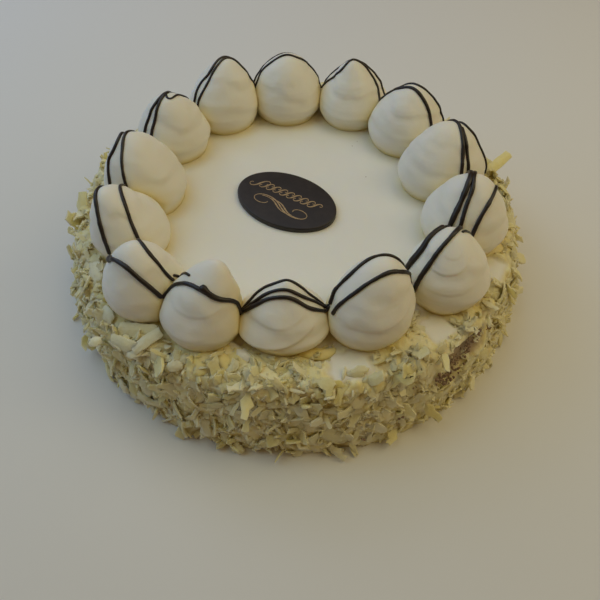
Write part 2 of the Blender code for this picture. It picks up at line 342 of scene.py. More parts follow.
@dataclass(frozen=True)
class SpongeFinish:
    """Brown sponge crumbs, darker in their pores."""

    name: str
    crumb: Colour = (0.36, 0.25, 0.17)
    crust: Colour = (0.12, 0.08, 0.055)

    def material(self) -> bpy.types.Material:
        """Make the material."""
        graph = Graph(self.name)
        pores = graph.mottle(0.0012, 4.0, 0.7)
        graph.relief(pores, 0.0004)
        colour = graph.mix(((pores - 0.45) * 4.0).kept(), self.crumb, self.crust)
        return graph.finish(base_color=colour, roughness=0.75 + pores * 0.15)


@dataclass(frozen=True)
class FloorFinish:
    """A plain pale floor."""

    name: str
    pale: Colour = (0.80, 0.795, 0.785)

    def material(self) -> bpy.types.Material:
        """Make the material."""
        graph = Graph(self.name)
        colour = graph.mix(graph.mottle(0.3, 2.0), self.pale, tuple(0.985 * part for part in self.pale))
        return graph.finish(base_color=colour, roughness=0.85)


def add_piece(
    name: str,
    points: Any,
    faces: Iterable[Sequence[int]],
    material: bpy.types.Material,
    slot: Slot | None = None,
    stands_for: str = "",
    sharp: float = 180.0,
    **paint: np.ndarray,
) -> None:
    """Put a mesh in the scene as a piece that rides on the cake.

    Args:
        name: The piece's name.
        points: Its vertices.
        faces: Its faces, as vertex numbers.
        material: Its material.
        slot: The record's slot that its finish comes from; not used.
        stands_for: The solid that it replaces.
        sharp: Edges with a larger angle than this, in degrees, are sharp.
        **paint: Values for each vertex, by attribute name.
    """
    mesh = bpy.data.meshes.new(name)
    mesh.from_pydata(np.array(points, float).tolist(), [], [tuple(face) for face in faces])
    mesh.shade_smooth()
    if sharp < 180:
        mesh.set_sharp_from_angle(angle=math.radians(sharp))
    for attribute, values in paint.items():
        layer = mesh.attributes.new(attribute, "FLOAT", "POINT")
        layer.data.foreach_set("value", np.asarray(values, np.float32).ravel())
    mesh.materials.append(material)
    piece = bpy.data.objects.new(name, mesh)
    bpy.context.scene.collection.objects.link(piece)
    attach(piece, BODY)
    if stands_for:
        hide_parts(stands_for)
    log.info("%s: %d vertices, %d faces", name, len(mesh.vertices), len(mesh.polygons))


def grid_faces(rows: int, around: int, start: int = 0) -> Faces:
    """Quads of a grid of vertices that closes on itself sideways.

    Args:
        rows: Rows of vertices.
        around: Vertices in a row.
        start: Number of the first vertex.

    Returns:
        The quads, facing out where the rows go up and the columns anticlockwise.
    """
    faces: Faces = []
    for low in range(start, start + (rows - 1) * around, around):
        for column in range(around):
            beside = (column + 1) % around
            faces.append((low + column, low + beside, low + around + beside, low + around + column))
    return faces


def tube_faces(count: int, sides: int) -> Faces:
    """Faces of a closed tube, from the number of its rings and of the vertices in each."""
    walls = [tuple(reversed(face)) for face in grid_faces(count, sides)]
    return [*walls, tuple(range(sides)), tuple(reversed(range((count - 1) * sides, count * sides)))]


def tube(line: np.ndarray, across: np.ndarray, up: np.ndarray, wide: np.ndarray, high: np.ndarray,
         sides: int) -> tuple[np.ndarray, Faces]:
    """Closed tube of an oval section along a line.

    Args:
        line: Points of the line.
        across: Direction across it at each point.
        up: Direction up from it.
        wide: Half its width.
        high: Half its height.
        sides: Vertices round it.

    Returns:
        Its vertices and faces.
    """
    rings = []
    for turn in np.linspace(0, FULL_TURN, sides, endpoint=False):
        aside, above = (math.cos(turn) * wide)[:, None], (math.sin(turn) * high)[:, None]
        rings.append(line + across * aside + up * above)
    return np.stack(rings, 1).reshape(-1, 3), tube_faces(len(line), sides)


def unit(vectors: np.ndarray) -> np.ndarray:
    """Vectors of length 1 in the directions of these."""
    return vectors / np.linalg.norm(vectors, axis=1)[:, None]


def curve_through(knots: np.ndarray, pieces: int = 14) -> np.ndarray:
    """Smooth curve through a few places.

    Args:
        knots: The places.
        pieces: Steps from each to the next.

    Returns:
        Closely spaced places on the curve.
    """
    ends = np.concatenate([[2 * knots[0] - knots[1]], knots, [2 * knots[-1] - knots[-2]]])
    places = []
    for before, start, end, after in zip(ends, ends[1:], ends[2:], ends[3:]):
        for share in np.linspace(0, 1, pieces, endpoint=False):
            curve = 2 * start + (end - before) * share
            curve = curve + (2 * before - 5 * start + 4 * end - after) * share**2
            curve = curve + (3 * start - before - 3 * end + after) * share**3
            places.append(curve / 2)
    return np.array([*places, knots[-1]])


def outward_of(bearing: float) -> Vector:
    """Unit vector from the axis towards a bearing, in radians."""
    return Vector((math.cos(bearing), math.sin(bearing), 0))


def round_place(bearing: float, radius: float, height: float) -> np.ndarray:
    """Place at a bearing in degrees, and a distance from the axis and height in millimetres."""
    return np.array(outward_of(math.radians(bearing)) * radius * MM + UP * height * MM)


def ease(share: np.ndarray) -> np.ndarray:
    """Smooth step from 0 to 1."""
    share = np.clip(share, 0, 1)
    return share * share * (3 - 2 * share)


def bumps(points: np.ndarray, size: float, seed: float = 0.0) -> np.ndarray:
    """Smooth random relief from about -1 to 1, with bumps of this size at these points."""
    shift = Vector((seed, seed * 0.7, -seed))
    return np.array([noise.noise(Vector(point) / size + shift) for point in points])


@dataclass(frozen=True)
class BarePatch:
    """A stretch of the side without shavings, in degrees round it and metres up it."""

    bearing: float
    half_angle: float
    low: float
    high: float
    sponge: bool = False  # whether the sponge shows there

    def depth_in(self, bearings: np.ndarray, ways: np.ndarray) -> np.ndarray:
        """How deep inside the patch places are.

        Args:
            bearings: Their bearings, in degrees.
            ways: Their distances up the side, in metres.

        Returns:
            1 in the middle, 0 on the edge, and less outside.
        """
        across = np.abs((bearings - self.bearing + 180) % 360 - 180) / self.half_angle
        along = np.abs(ways - (self.low + self.high) / 2) / ((self.high - self.low) / 2)
        return 1 - np.maximum(across, along)


PATCHES = (
    BarePatch(-48, 7.5, 0.026, 0.040, sponge=True),
    BarePatch(-76, 6.5, 0.044, 0.060),
    BarePatch(-51, 4.5, 0.044, 0.060),
    BarePatch(-25, 4.5, 0.041, 0.060),
)


@dataclass(frozen=True)
class CakeOutline:
    """The cake's turned outline, leaning over as its top has slumped."""

    top_height: float
    foot_radius: float = 0.1178
    shoulder_radius: float = 0.1074
    shoulder_height: float = 0.0360
    top_edge_radius: float = 0.1020
    top_shift: float = -0.0045  # how far the top has slumped along Y
    rim_radius: float = 0.0950  # where the large shavings on the rim end
    inner_radius: float = 0.0850  # where the small ones end, under the peaks
    side_steps: int = 4
    shoulder_steps: int = 3

    def points(self) -> np.ndarray:
        """Points of the outline, from the foot up and over to the end of the rim.

        Returns:
            Radius and height of each point.
        """
        made = []
        for share in np.linspace(0, 1, self.side_steps + 1):
            radius = self.foot_radius + (self.shoulder_radius - self.foot_radius) * share**1.4
            made.append((radius, share * self.shoulder_height))
        for turn in np.linspace(QUARTER, 0, self.shoulder_steps + 1)[1:]:
            radius = self.top_edge_radius + (self.shoulder_radius - self.top_edge_radius) * math.sin(turn)
            height = self.shoulder_height + (self.top_height - self.shoulder_height) * math.cos(turn)
            made.append((radius, height))
        return np.array([*made, (self.inner_radius, self.top_height)])

    def stations(self) -> np.ndarray:
        """Distance up the side of each of those points."""
        steps = np.linalg.norm(np.diff(self.points(), axis=0), axis=1)
        return np.concatenate([[0], np.cumsum(steps)])

    def length(self) -> float:
        """Length of the way from the foot to the end of the small shavings on the rim."""
        return float(self.stations()[-1])

    def radius_at(self, ways: Any) -> Any:
        """Radius at distances up the side."""
        return np.interp(ways, self.stations(), self.points()[:, 0])

    def frames(self, bearings: np.ndarray, ways: np.ndarray) -> tuple[np.ndarray, np.ndarray]:
        """Frames on the side: X runs round the cake, Y up its side and Z out of it.

        Args:
            bearings: Bearings, in radians.
            ways: Distances up the side, in metres.

        Returns:
            The origins, and the frames' axes as columns.
        """
        points, stations = self.points(), self.stations()
        height = np.interp(ways, stations, points[:, 1])
        stretch = np.clip(np.searchsorted(stations, ways) - 1, 0, len(points) - 2)
        slope = unit(points[stretch + 1] - points[stretch])
        zero = np.zeros_like(bearings)
        outward = np.stack([np.cos(bearings), np.sin(bearings), zero], 1)
        around = np.stack([-np.sin(bearings), np.cos(bearings), zero], 1)
        climb = outward * slope[:, :1] + np.stack([zero, zero, slope[:, 1]], 1)
        lean = self.top_shift * height / self.top_height
        origin = outward * self.radius_at(ways)[:, None] + np.stack([zero, lean, height], 1)
        return origin, np.stack([around, climb, np.cross(around, climb)], 2)


@dataclass(frozen=True)
class Fold:
    """A crease where one layer of cream lies over the next."""

    bearing: float  # of its middle, in degrees from the way out of the ring
    half_angle: float  # that it runs round the peak
    share: float  # height of its middle, as a share of the peak's
    rise: float  # how much higher its ends are
    depth: float  # how far the upper layer stands out
    spread: float  # how far the relief reaches up and down, as a share of the height
    tilt: float = 0.0  # how much higher its anticlockwise end is than its middle

    def offset(self, turn: np.ndarray, share: np.ndarray) -> np.ndarray:
        """How far the fold moves the surface out.

        Args:
            turn: Angle round the peak, in degrees.
            share: Height, as a share of the peak's.

        Returns:
            The offsets, in metres.
        """
        away = ((turn - self.bearing + 180) % 360 - 180) / self.half_angle
        strength = np.clip(1 - away * away, 0, 1) ** 0.7
        line = self.share + self.rise * away * away + self.tilt * away
        past = (share - line) / self.spread
        lip = np.where(past > 0, np.exp(-np.maximum(past, 0) * 1.2), -np.exp(np.minimum(past, 0) * 3.0) * 0.7)
        return self.depth * strength * lip * np.tanh(np.abs(past) * 14)


@dataclass(frozen=True)
class PipedPeak:
    """One piped peak of cream. Its sizes are in metres, its bearing in degrees."""

    number: int
    bearing: float
    out: float  # how far it stands outside the ring's radius
    width: float  # radius round the ring
    depth: float  # radius across the ring
    height: float
    lean_out: float  # of its tip, out of the ring
    lean_side: float  # of its tip, anticlockwise
    taper: float  # 0 for a dome, 1 for a cone
    folds: tuple[Fold, ...] = ()
    ripple: float = 0.000025  # depth of the fine rings that the nozzle left
    swirl: float = 0.00030  # depth of the soft turns that the cream was piped in

    @property
    def node(self) -> str:
        """Name of the solid that the peak stands for."""
        return f"cream_peak_{self.number:02d}"


PEAKS = (
    PipedPeak(1, 95, 0.0005, 0.0202, 0.0205, 0.0310, 0.0020, -0.0010, 0.30, ripple=0.00003),
    PipedPeak(2, 121, 0.0025, 0.0200, 0.0197, 0.0318, 0.0020, -0.0050, 0.36),
    PipedPeak(3, 147, -0.0010, 0.0190, 0.0187, 0.0300, 0.0005, -0.0010, 0.32),
    PipedPeak(4, 177.5, -0.0060, 0.0196, 0.0198, 0.0325, 0.0040, -0.0055, 0.33),
    PipedPeak(5, 200, 0.0000, 0.0192, 0.0175, 0.0299, 0.0060, -0.0035, 0.45),
    PipedPeak(6, 223, 0.0070, 0.0186, 0.0170, 0.0290, -0.0015, -0.0025, 0.47),
    PipedPeak(7, 243, 0.0030, 0.0180, 0.0162, 0.0302, -0.0105, 0.0036, 0.48, folds=(
        Fold(10, 64, 0.58, 0.08, 0.00030, 0.13, tilt=0.06),
        Fold(-5, 50, 0.30, 0.04, 0.00030, 0.12, tilt=0.03),
    )),
    PipedPeak(8, 267, -0.0045, 0.0195, 0.0160, 0.0238, -0.0055, 0.0010, 0.70, folds=(
        Fold(-12, 66, 0.30, 0.10, 0.0012, 0.14, tilt=0.13),
        Fold(5, 56, 0.58, 0.08, 0.00030, 0.16, tilt=0.09),
    )),
    PipedPeak(9, 293.5, -0.0020, 0.0188, 0.0168, 0.0312, -0.0045, 0.0065, 0.30, folds=(
        Fold(-6, 60, 0.46, 0.07, 0.00045, 0.20, tilt=0.08),
        Fold(20, 46, 0.70, 0.04, 0.00020, 0.14, tilt=0.05),
    )),
    PipedPeak(10, 322, 0.0040, 0.0187, 0.0180, 0.0289, -0.0035, 0.0030, 0.37, folds=(
        Fold(-70, 60, 0.68, 0.12, 0.00040, 0.12, tilt=0.06),
        Fold(-66, 40, 0.84, 0.06, 0.00020, 0.08),
        Fold(-60, 66, 0.46, 0.10, 0.00035, 0.16, tilt=0.05),
    )),
    PipedPeak(11, 346, 0.0010, 0.0194, 0.0200, 0.0306, 0.0000, 0.0047, 0.40),
    PipedPeak(12, 13, -0.0045, 0.0190, 0.0225, 0.0315, 0.0012, 0.0047, 0.35),
    PipedPeak(13, 42, -0.0010, 0.0200, 0.0205, 0.0305, 0.0017, 0.0000, 0.37, ripple=0.00004),
    PipedPeak(14, 68, 0.0035, 0.0196, 0.0222, 0.0304, 0.0010, 0.0024, 0.69, ripple=0.00006),
)


@dataclass
class PeakRing:
    """The ring of piped peaks on the cake's top."""

    top_height: float
    finish: CreamFinish
    peaks: tuple[PipedPeak, ...] = PEAKS
    centre: tuple[float, float] = (0, -0.0054)
    radius: float = 0.0800
    foot_share: float = 0.86  # radius of a foot, as a share of the widest
    belly_height: float = 0.30  # height of the widest place, as a share of the height
    contact: float = 0.0003  # how softly two peaks press on each other
    overlap: float = 0.0001  # how far they reach past the middle between them
    crease: float = 0.0022  # how far from that middle the painted warm shade of the crease reaches
    # strength of the painted warm shade in a crease
    crease_painted_shade: float = 0.8
    foot_painted_shade: float = 0.0035  # how far up from its foot the painted warm shade reaches
    sunk: float = 0.0008  # how far a foot goes into the top
    sides: int = 112
    rows: int = 72

    def foot_of(self, peak: PipedPeak) -> np.ndarray:
        """Middle of a peak's foot."""
        middle = outward_of(math.radians(peak.bearing)) * (self.radius + peak.out)
        return np.array(middle + Vector((*self.centre, self.top_height + REST_GAP)))

    def reach(self, share: np.ndarray, taper: float) -> np.ndarray:
        """Radius of a peak as a share of its widest.

        Args:
            share: Height, from its foot at 0 to its tip at 1.
            taper: The peak's taper.

        Returns:
            The radii.
        """
        swell = np.sin(QUARTER * np.clip(share / self.belly_height, 0, 1))
        low = self.foot_share + (1 - self.foot_share) * swell
        rise = np.clip((share - self.belly_height) / (1 - self.belly_height), 0, 1)
        dome = np.sqrt(np.clip(1 - rise**2.1, 0, None))
        return np.where(share < self.belly_height, low, dome * (1 - taper) + (1 - rise**1.1) * taper)

    def relief(self, index: int, turn: np.ndarray, share: np.ndarray) -> np.ndarray:
        """Relief of a peak: its folds, the nozzle's rings and the soft turns of the piping.

        Args:
            index: The peak's place in the ring.
            turn: Angle round it, in radians.
            share: Height, as a share of its own.

        Returns:
            How far out each place moves.
        """
        peak, degrees = self.peaks[index], np.degrees(turn)
        offset = sum((fold.offset(degrees, share) for fold in peak.folds), np.zeros_like(turn))
        fade = ease(share * 6) * ease((1 - share) * 4)
        places = np.stack([np.cos(turn), np.sin(turn), 1.6 * share], 1)
        crook = 0.30 * bumps(places, 0.9, 5.3 * index) + 0.10 * bumps(places, 0.35, 2.9 * index)
        offset += peak.ripple * fade * np.sin(FULL_TURN * (share * 9 + crook) + turn + index)
        finer = FULL_TURN * (share * 17 + 2 * crook) - turn * 2 + 2 * index
        offset += peak.ripple * 0.6 * fade * np.sin(finer)
        rise = FULL_TURN * (share * 2.6 + 0.9 * crook) + turn + 2.3 * index
        return offset + peak.swirl * fade * (np.sin(rise) + 0.4 * np.sin(2 * rise + 0.8))

    def shaped(self, index: int) -> tuple[np.ndarray, np.ndarray]:
        """Surface of one peak.

        Args:
            index: Its place in the ring.

        Returns:
            Its vertices row by row, and the painted warm shade of each, at the foot and in the creases.
        """
        peak = self.peaks[index]
        share = np.repeat(np.sin(QUARTER * np.linspace(0, 1, self.rows)), self.sides)
        turn = np.tile(np.linspace(0, FULL_TURN, self.sides, endpoint=False), self.rows)
        outward = np.array(outward_of(math.radians(peak.bearing)))
        aside = np.array((-outward[1], outward[0], 0))
        offset, reach, lean = self.relief(index, turn, share), self.reach(share, peak.taper), share * share
        flat = outward * (np.cos(turn) * (reach * peak.depth + offset) + peak.lean_out * lean)[:, None]
        flat += aside * (np.sin(turn) * (reach * peak.width + offset) + peak.lean_side * lean)[:, None]
        points = self.foot_of(peak) + flat
        points[:, 2] += peak.height * share
        lumps = bumps(points, 0.011, 3.1 * index) * 0.00045 + bumps(points, 0.0045, 1.7 * index) * 0.00012
        away = flat / (np.linalg.norm(flat, axis=1)[:, None] + 1e-6)
        points += away * (lumps * ease((1 - share) * 5))[:, None]
        points[:, 2] += lumps * ease(share * 3)
        # painted warm shade: strongest at the foot and where neighbouring peaks press together
        hollow = np.exp(-share * peak.height / self.foot_painted_shade)
        for beside in (index - 1, (index + 1) % len(self.peaks)):
            hollow = np.maximum(hollow, self.press(points, peak, self.peaks[beside]))
        points[: self.sides, 2] -= REST_GAP + self.sunk
        return points, hollow

    def press(self, points: np.ndarray, peak: PipedPeak, neighbour: PipedPeak) -> np.ndarray:
        """Flatten the side of a peak that a neighbour presses on.

        Args:
            points: The peak's vertices, which are moved.
            peak: The peak.
            neighbour: The peak next to it.

        Returns:
            How much painted warm shade each vertex gets, for lying in the crease.
        """
        foot = self.foot_of(peak)
        towards = self.foot_of(neighbour) - foot
        length = np.linalg.norm(towards)
        room = length * peak.width / (peak.width + neighbour.width) + self.overlap
        towards = towards / length
        reached = (points - foot) @ towards
        held = -self.contact * np.logaddexp(-reached / self.contact, -room / self.contact)
        points += np.outer(held - reached, towards)
        return np.exp(-(room - held) / self.crease) * self.crease_painted_shade

    def build(self) -> None:
        """Make every peak, and one search tree over them all."""
        material, last = self.finish.material(), (self.rows - 1) * self.sides
        faces = [*grid_faces(self.rows - 1, self.sides), tuple(reversed(range(self.sides)))]
        top_row = last - self.sides
        faces += [(top_row + side, top_row + (side + 1) % self.sides, last) for side in range(self.sides)]
        all_verts: list[list[float]] = []
        all_faces: Faces = []
        for index, peak in enumerate(self.peaks):
            points, hollow = self.shaped(index)
            verts = np.vstack([points[:last], points[last:].mean(axis=0)])
            paint = np.append(hollow[:last], 0.0)
            add_piece(f"piped_{peak.node}", verts, faces, material, Slot.CREAM, peak.node, hollow=paint)
            all_faces += [tuple(len(all_verts) + number for number in face) for face in faces]
            all_verts += verts.tolist()
        self.tree = BVHTree.FromPolygons(all_verts, all_faces)

    def clearance(self, point: Sequence[float]) -> float:
        """Distance from a place to the nearest peak, below 0 inside one."""
        spot, normal, _, distance = self.tree.find_nearest(Vector(point))
        return distance if (Vector(point) - spot).dot(normal) >= 0 else -distance


@dataclass(frozen=True)
class Strand:
    """One strand of dark chocolate. Its route has bearings in degrees and distances from the ring's axis."""

    name: str
    width: float  # at its start, in millimetres
    end_width: float
    route: tuple[Range, ...]
    blob: float = 0.0  # width of the blob that it starts with


STRANDS = (
    Strand("01_inner", 1.4, 1.4, ((81.5, 87), (86, 86.5), (90, 82), (95, 82.5), (100, 82), (104, 82.6),
        (108, 80))),
    Strand("01_outer", 1.5, 1.5, ((81.5, 88), (87, 92), (95, 93), (102, 90), (108, 86))),
    Strand("02_inner", 1.3, 1.5, ((108, 80), (110, 79.9), (112, 80.7), (115, 86), (118, 85.9),
        (123, 82.8), (128, 80.8), (132, 80.6), (134, 81))),
    Strand("02_outer", 1.6, 1.6, ((108, 86), (113, 90), (119, 88), (124, 84.5), (128, 85.5), (132, 84.7),
        (134, 84))),
    Strand("03_hook", 1.2, 1.1, ((134, 84), (138, 80), (143, 77.5), (147, 76.0), (148, 78), (146, 80.5))),
    Strand("03_inner", 1.5, 1.6, ((144, 82), (146, 81.1), (150, 80.2), (155, 79.5), (158, 79.9),
        (162, 80))),
    Strand("03_outer", 1.7, 1.7, ((134, 84.5), (140, 86), (146, 81.6), (151, 82.2), (154, 83.7),
        (157, 84.5), (162, 85))),
    Strand("04_inner", 1.5, 1.5, ((162, 80), (168, 80), (174, 80.2), (179, 80), (184, 80), (188.7, 79))),
    Strand("04_outer", 1.7, 1.7, ((162, 85), (168, 84), (174, 82.5), (178, 84.6), (180, 87.4),
        (185, 87.6), (188.7, 87))),
    Strand("05_inner", 1.5, 1.6, ((188.7, 79), (194, 80), (203, 79.3), (208, 79.4), (211.5, 79.2))),
    Strand("05_outer", 1.9, 1.9, ((188.7, 87), (193, 88), (197, 89.6), (203, 91.2), (207, 92.1),
        (211.5, 92.8))),
    Strand("06_inner", 1.6, 1.5, ((211.5, 79.2), (218, 81.3), (226, 82.1), (233, 80.3))),
    Strand("06_outer", 2.2, 1.9, ((217, 94.2), (219, 94.0), (224, 92.2), (228, 91.1), (233.3, 88.6)),
        blob=3.4),
    Strand("07_hook", 1.2, 1.1, ((231, 79.0), (231.5, 76.0), (234, 77.0), (240, 79.7))),
    Strand("07_outer", 1.9, 1.7, ((233.3, 88.6), (234, 85.2), (236, 83.3), (241, 82.6), (246, 83.4),
        (250, 83.3), (254.5, 78.5))),
    Strand("07_blob", 1.7, 1.9, ((244.5, 82.2), (246, 82.8), (248.5, 83.2), (251, 82.4), (254.8, 78.2)),
        blob=3.4),
    Strand("08_inner", 1.5, 1.1, ((254.5, 77), (256, 74), (260, 69.9), (264, 69.6), (268, 69.0),
        (271, 69.6), (274, 71), (281, 73.5))),
    Strand("08_middle", 1.6, 1.2, ((254.5, 77.5), (259, 75.0), (262, 73.4), (268, 72.8), (272, 74.0),
        (278, 73.8), (281.5, 74))),
    Strand("08_outer", 1.9, 1.5, ((254.5, 78), (259, 77.1), (262, 75.7), (266, 75.4), (270, 75.6),
        (274, 77.4), (277, 77.2), (281.5, 75))),
    Strand("09_inner", 2.1, 1.2, ((281.5, 74.5), (284, 71.0), (288, 70.2), (293, 69.2), (297, 69.2),
        (300, 70.6), (304, 74), (308, 76))),
    Strand("09_outer", 1.9, 1.5, ((281.5, 79.0), (284, 78.5), (288, 78.4), (293, 78.3), (298, 78.5),
        (302, 79.6), (308, 78.5))),
    Strand("10_inner", 3.2, 2.8, ((310, 71.5), (313, 71.3), (316, 72.4), (319, 72.6), (323, 72.9),
        (327, 75.0))),
    Strand("10_inner_end", 1.8, 1.5, ((325, 74.0), (329, 76), (333.5, 75.5))),
    Strand("10_outer", 2.2, 2.0, ((309.5, 79.7), (314, 79.4), (318, 79.6), (322, 80.2), (326, 80.6),
        (331, 80.3), (333.5, 80))),
    Strand("10_bit", 1.4, 1.3, ((326, 82.4), (329, 83.5), (333, 85.0))),
    Strand("11_inner", 2.7, 2.3, ((333.5, 75), (336, 75.4), (340, 76.2), (346, 77.6), (351, 78.8),
        (356, 79), (359.5, 79))),
    Strand("11_middle", 1.9, 1.7, ((333.5, 80), (336, 79.6), (340, 79.1), (345, 79.9), (349, 79.7),
        (354, 81), (359.5, 82))),
    Strand("11_outer", 1.9, 1.6, ((333.5, 85.4), (336, 85.6), (339, 86.2), (345, 88.8), (350, 90.4),
        (356, 93), (359.5, 94))),
    Strand("12_inner", 2.0, 1.7, ((359.5, 79), (363, 79), (368, 79.7), (374, 80.4), (378, 81), (384, 80),
        (387.5, 79.5))),
    Strand("12_middle", 1.8, 1.5, ((359.5, 82), (363, 82.6), (367, 81.9), (372, 81.4), (375, 81.5))),
    Strand("12_outer", 1.5, 1.4, ((359.5, 94), (364, 95.6), (368, 95.4), (373, 90), (375, 86.0),
        (380, 84), (387.5, 86))),
    Strand("13_inner", 1.9, 1.6, ((387.5, 79.5), (392, 80.6), (397, 79.9), (402, 79.3), (407, 77.6),
        (411, 78.5), (415, 79))),
    Strand("13_outer", 1.5, 1.6, ((387.5, 91), (393, 93.3), (395, 92.0), (397, 88.6), (400, 85.6),
        (402, 84.3), (408, 84), (415, 87))),
    Strand("14_inner", 1.5, 1.4, ((55, 79), (59, 85.5), (62, 87.0), (65, 87.4), (70, 84.7), (73, 79.6),
        (76, 79.9), (81.5, 82))),
    Strand("14_outer", 1.5, 1.4, ((55, 87), (60, 92.5), (65, 92), (70, 91), (76, 90), (81.5, 87.5))),
)


@dataclass
class Drizzle:
    """The strands of dark chocolate drawn over the peaks."""

    ring: PeakRing
    finish: ChocolateFinish
    step: float = 0.0006  # between the rings of a strand
    sides: int = 12
    lift: float = 0.16  # height of a strand's middle off the cream, as a share of its width
    flatness: float = 0.8  # its thickness, as a share of its width
    slack: float = 0.0016  # how far it may hang free over a crease
    drop: float = 0.06  # height over the cake's top that it falls from

    def draped(self, strand: Strand) -> np.ndarray:
        """Let a strand fall on the cream.

        Args:
            strand: The strand.

        Returns:
            Evenly spaced points on its surface.
        """
        points = []
        for bearing, radius in curve_through(np.array(strand.route, float)):
            above = outward_of(math.radians(bearing)) * radius * MM
            above += Vector((*self.ring.centre, self.ring.top_height + self.drop))
            hit = self.ring.tree.ray_cast(above, -UP)[0]
            if hit:
                points.append(hit)
        line = np.array(points)
        for _ in range(3):
            line = self.relaxed(self.even(line))
        return self.even(line)

    def even(self, points: np.ndarray) -> np.ndarray:
        """Space the points of a line evenly.

        Args:
            points: The line's points.

        Returns:
            New points on the same line.
        """
        way = np.concatenate([[0], np.cumsum(np.linalg.norm(np.diff(points, axis=0), axis=1))])
        wanted = np.linspace(0, way[-1], max(4, round(way[-1] / self.step)))
        return np.stack([np.interp(wanted, way, points[:, axis]) for axis in range(3)], 1)

    def relaxed(self, points: np.ndarray) -> np.ndarray:
        """Smooth a line, then bring it back to the cream.

        Args:
            points: Points of the line, which are moved.

        Returns:
            The points, which hang free only over creases.
        """
        for _ in range(6):
            points[1:-1] = (points[:-2] + 2 * points[1:-1] + points[2:]) / 4
        for index, point in enumerate(points):
            spot, normal, _, distance = self.ring.tree.find_nearest(Vector(point))
            above = (Vector(point) - spot).dot(normal) >= 0
            if above and distance > self.slack:
                points[index] = spot + (Vector(point) - spot) * (self.slack / distance)
            elif not above:
                points[index] = spot
        return points

    def half_widths(self, strand: Strand, points: np.ndarray, seed: int) -> np.ndarray:
        """Half a strand's width, uneven and round at its ends.

        Args:
            strand: The strand.
            points: Its points.
            seed: Shift of the unevenness.

        Returns:
            Half its width at each point.
        """
        way, half = np.arange(len(points)) * self.step, strand.width * MM / 2
        wobble = 1 + 0.22 * bumps(points, 0.006, seed) + 0.10 * bumps(points, 0.002, seed)
        radii = np.linspace(half, strand.end_width * MM / 2, len(points)) * wobble
        if strand.blob:
            swell = np.exp(-((way - strand.blob * MM * 0.45) ** 2) / (strand.blob * MM * 0.55) ** 2)
            radii = radii + (strand.blob - strand.width) * MM / 2 * swell
        ends = np.minimum(way, way[-1] - way) / half
        return radii * np.sqrt(np.clip(1 - (1 - np.clip(ends, 0, 1)) ** 2, 0.02, 1))

    def build(self) -> None:
        """Make every strand."""
        material = self.finish.material()
        for number, strand in enumerate(STRANDS):
            points = self.draped(strand)
            forward = unit(np.gradient(points, axis=0))
            normals = np.array([self.ring.tree.find_nearest(Vector(point))[1] for point in points])
            for _ in range(8):
                normals[1:-1] = (normals[:-2] + normals[1:-1] + normals[2:]) / 3
            across = unit(np.cross(forward, normals))
            up = np.cross(across, forward)
            half = self.half_widths(strand, points, number)
            middle = points + up * (strand.width * MM * self.lift)
            verts, faces = tube(middle, across, up, half, half * self.flatness, self.sides)
            add_piece(f"drizzle_peak_{strand.name}", verts, faces, material, Slot.CHOCOLATE)


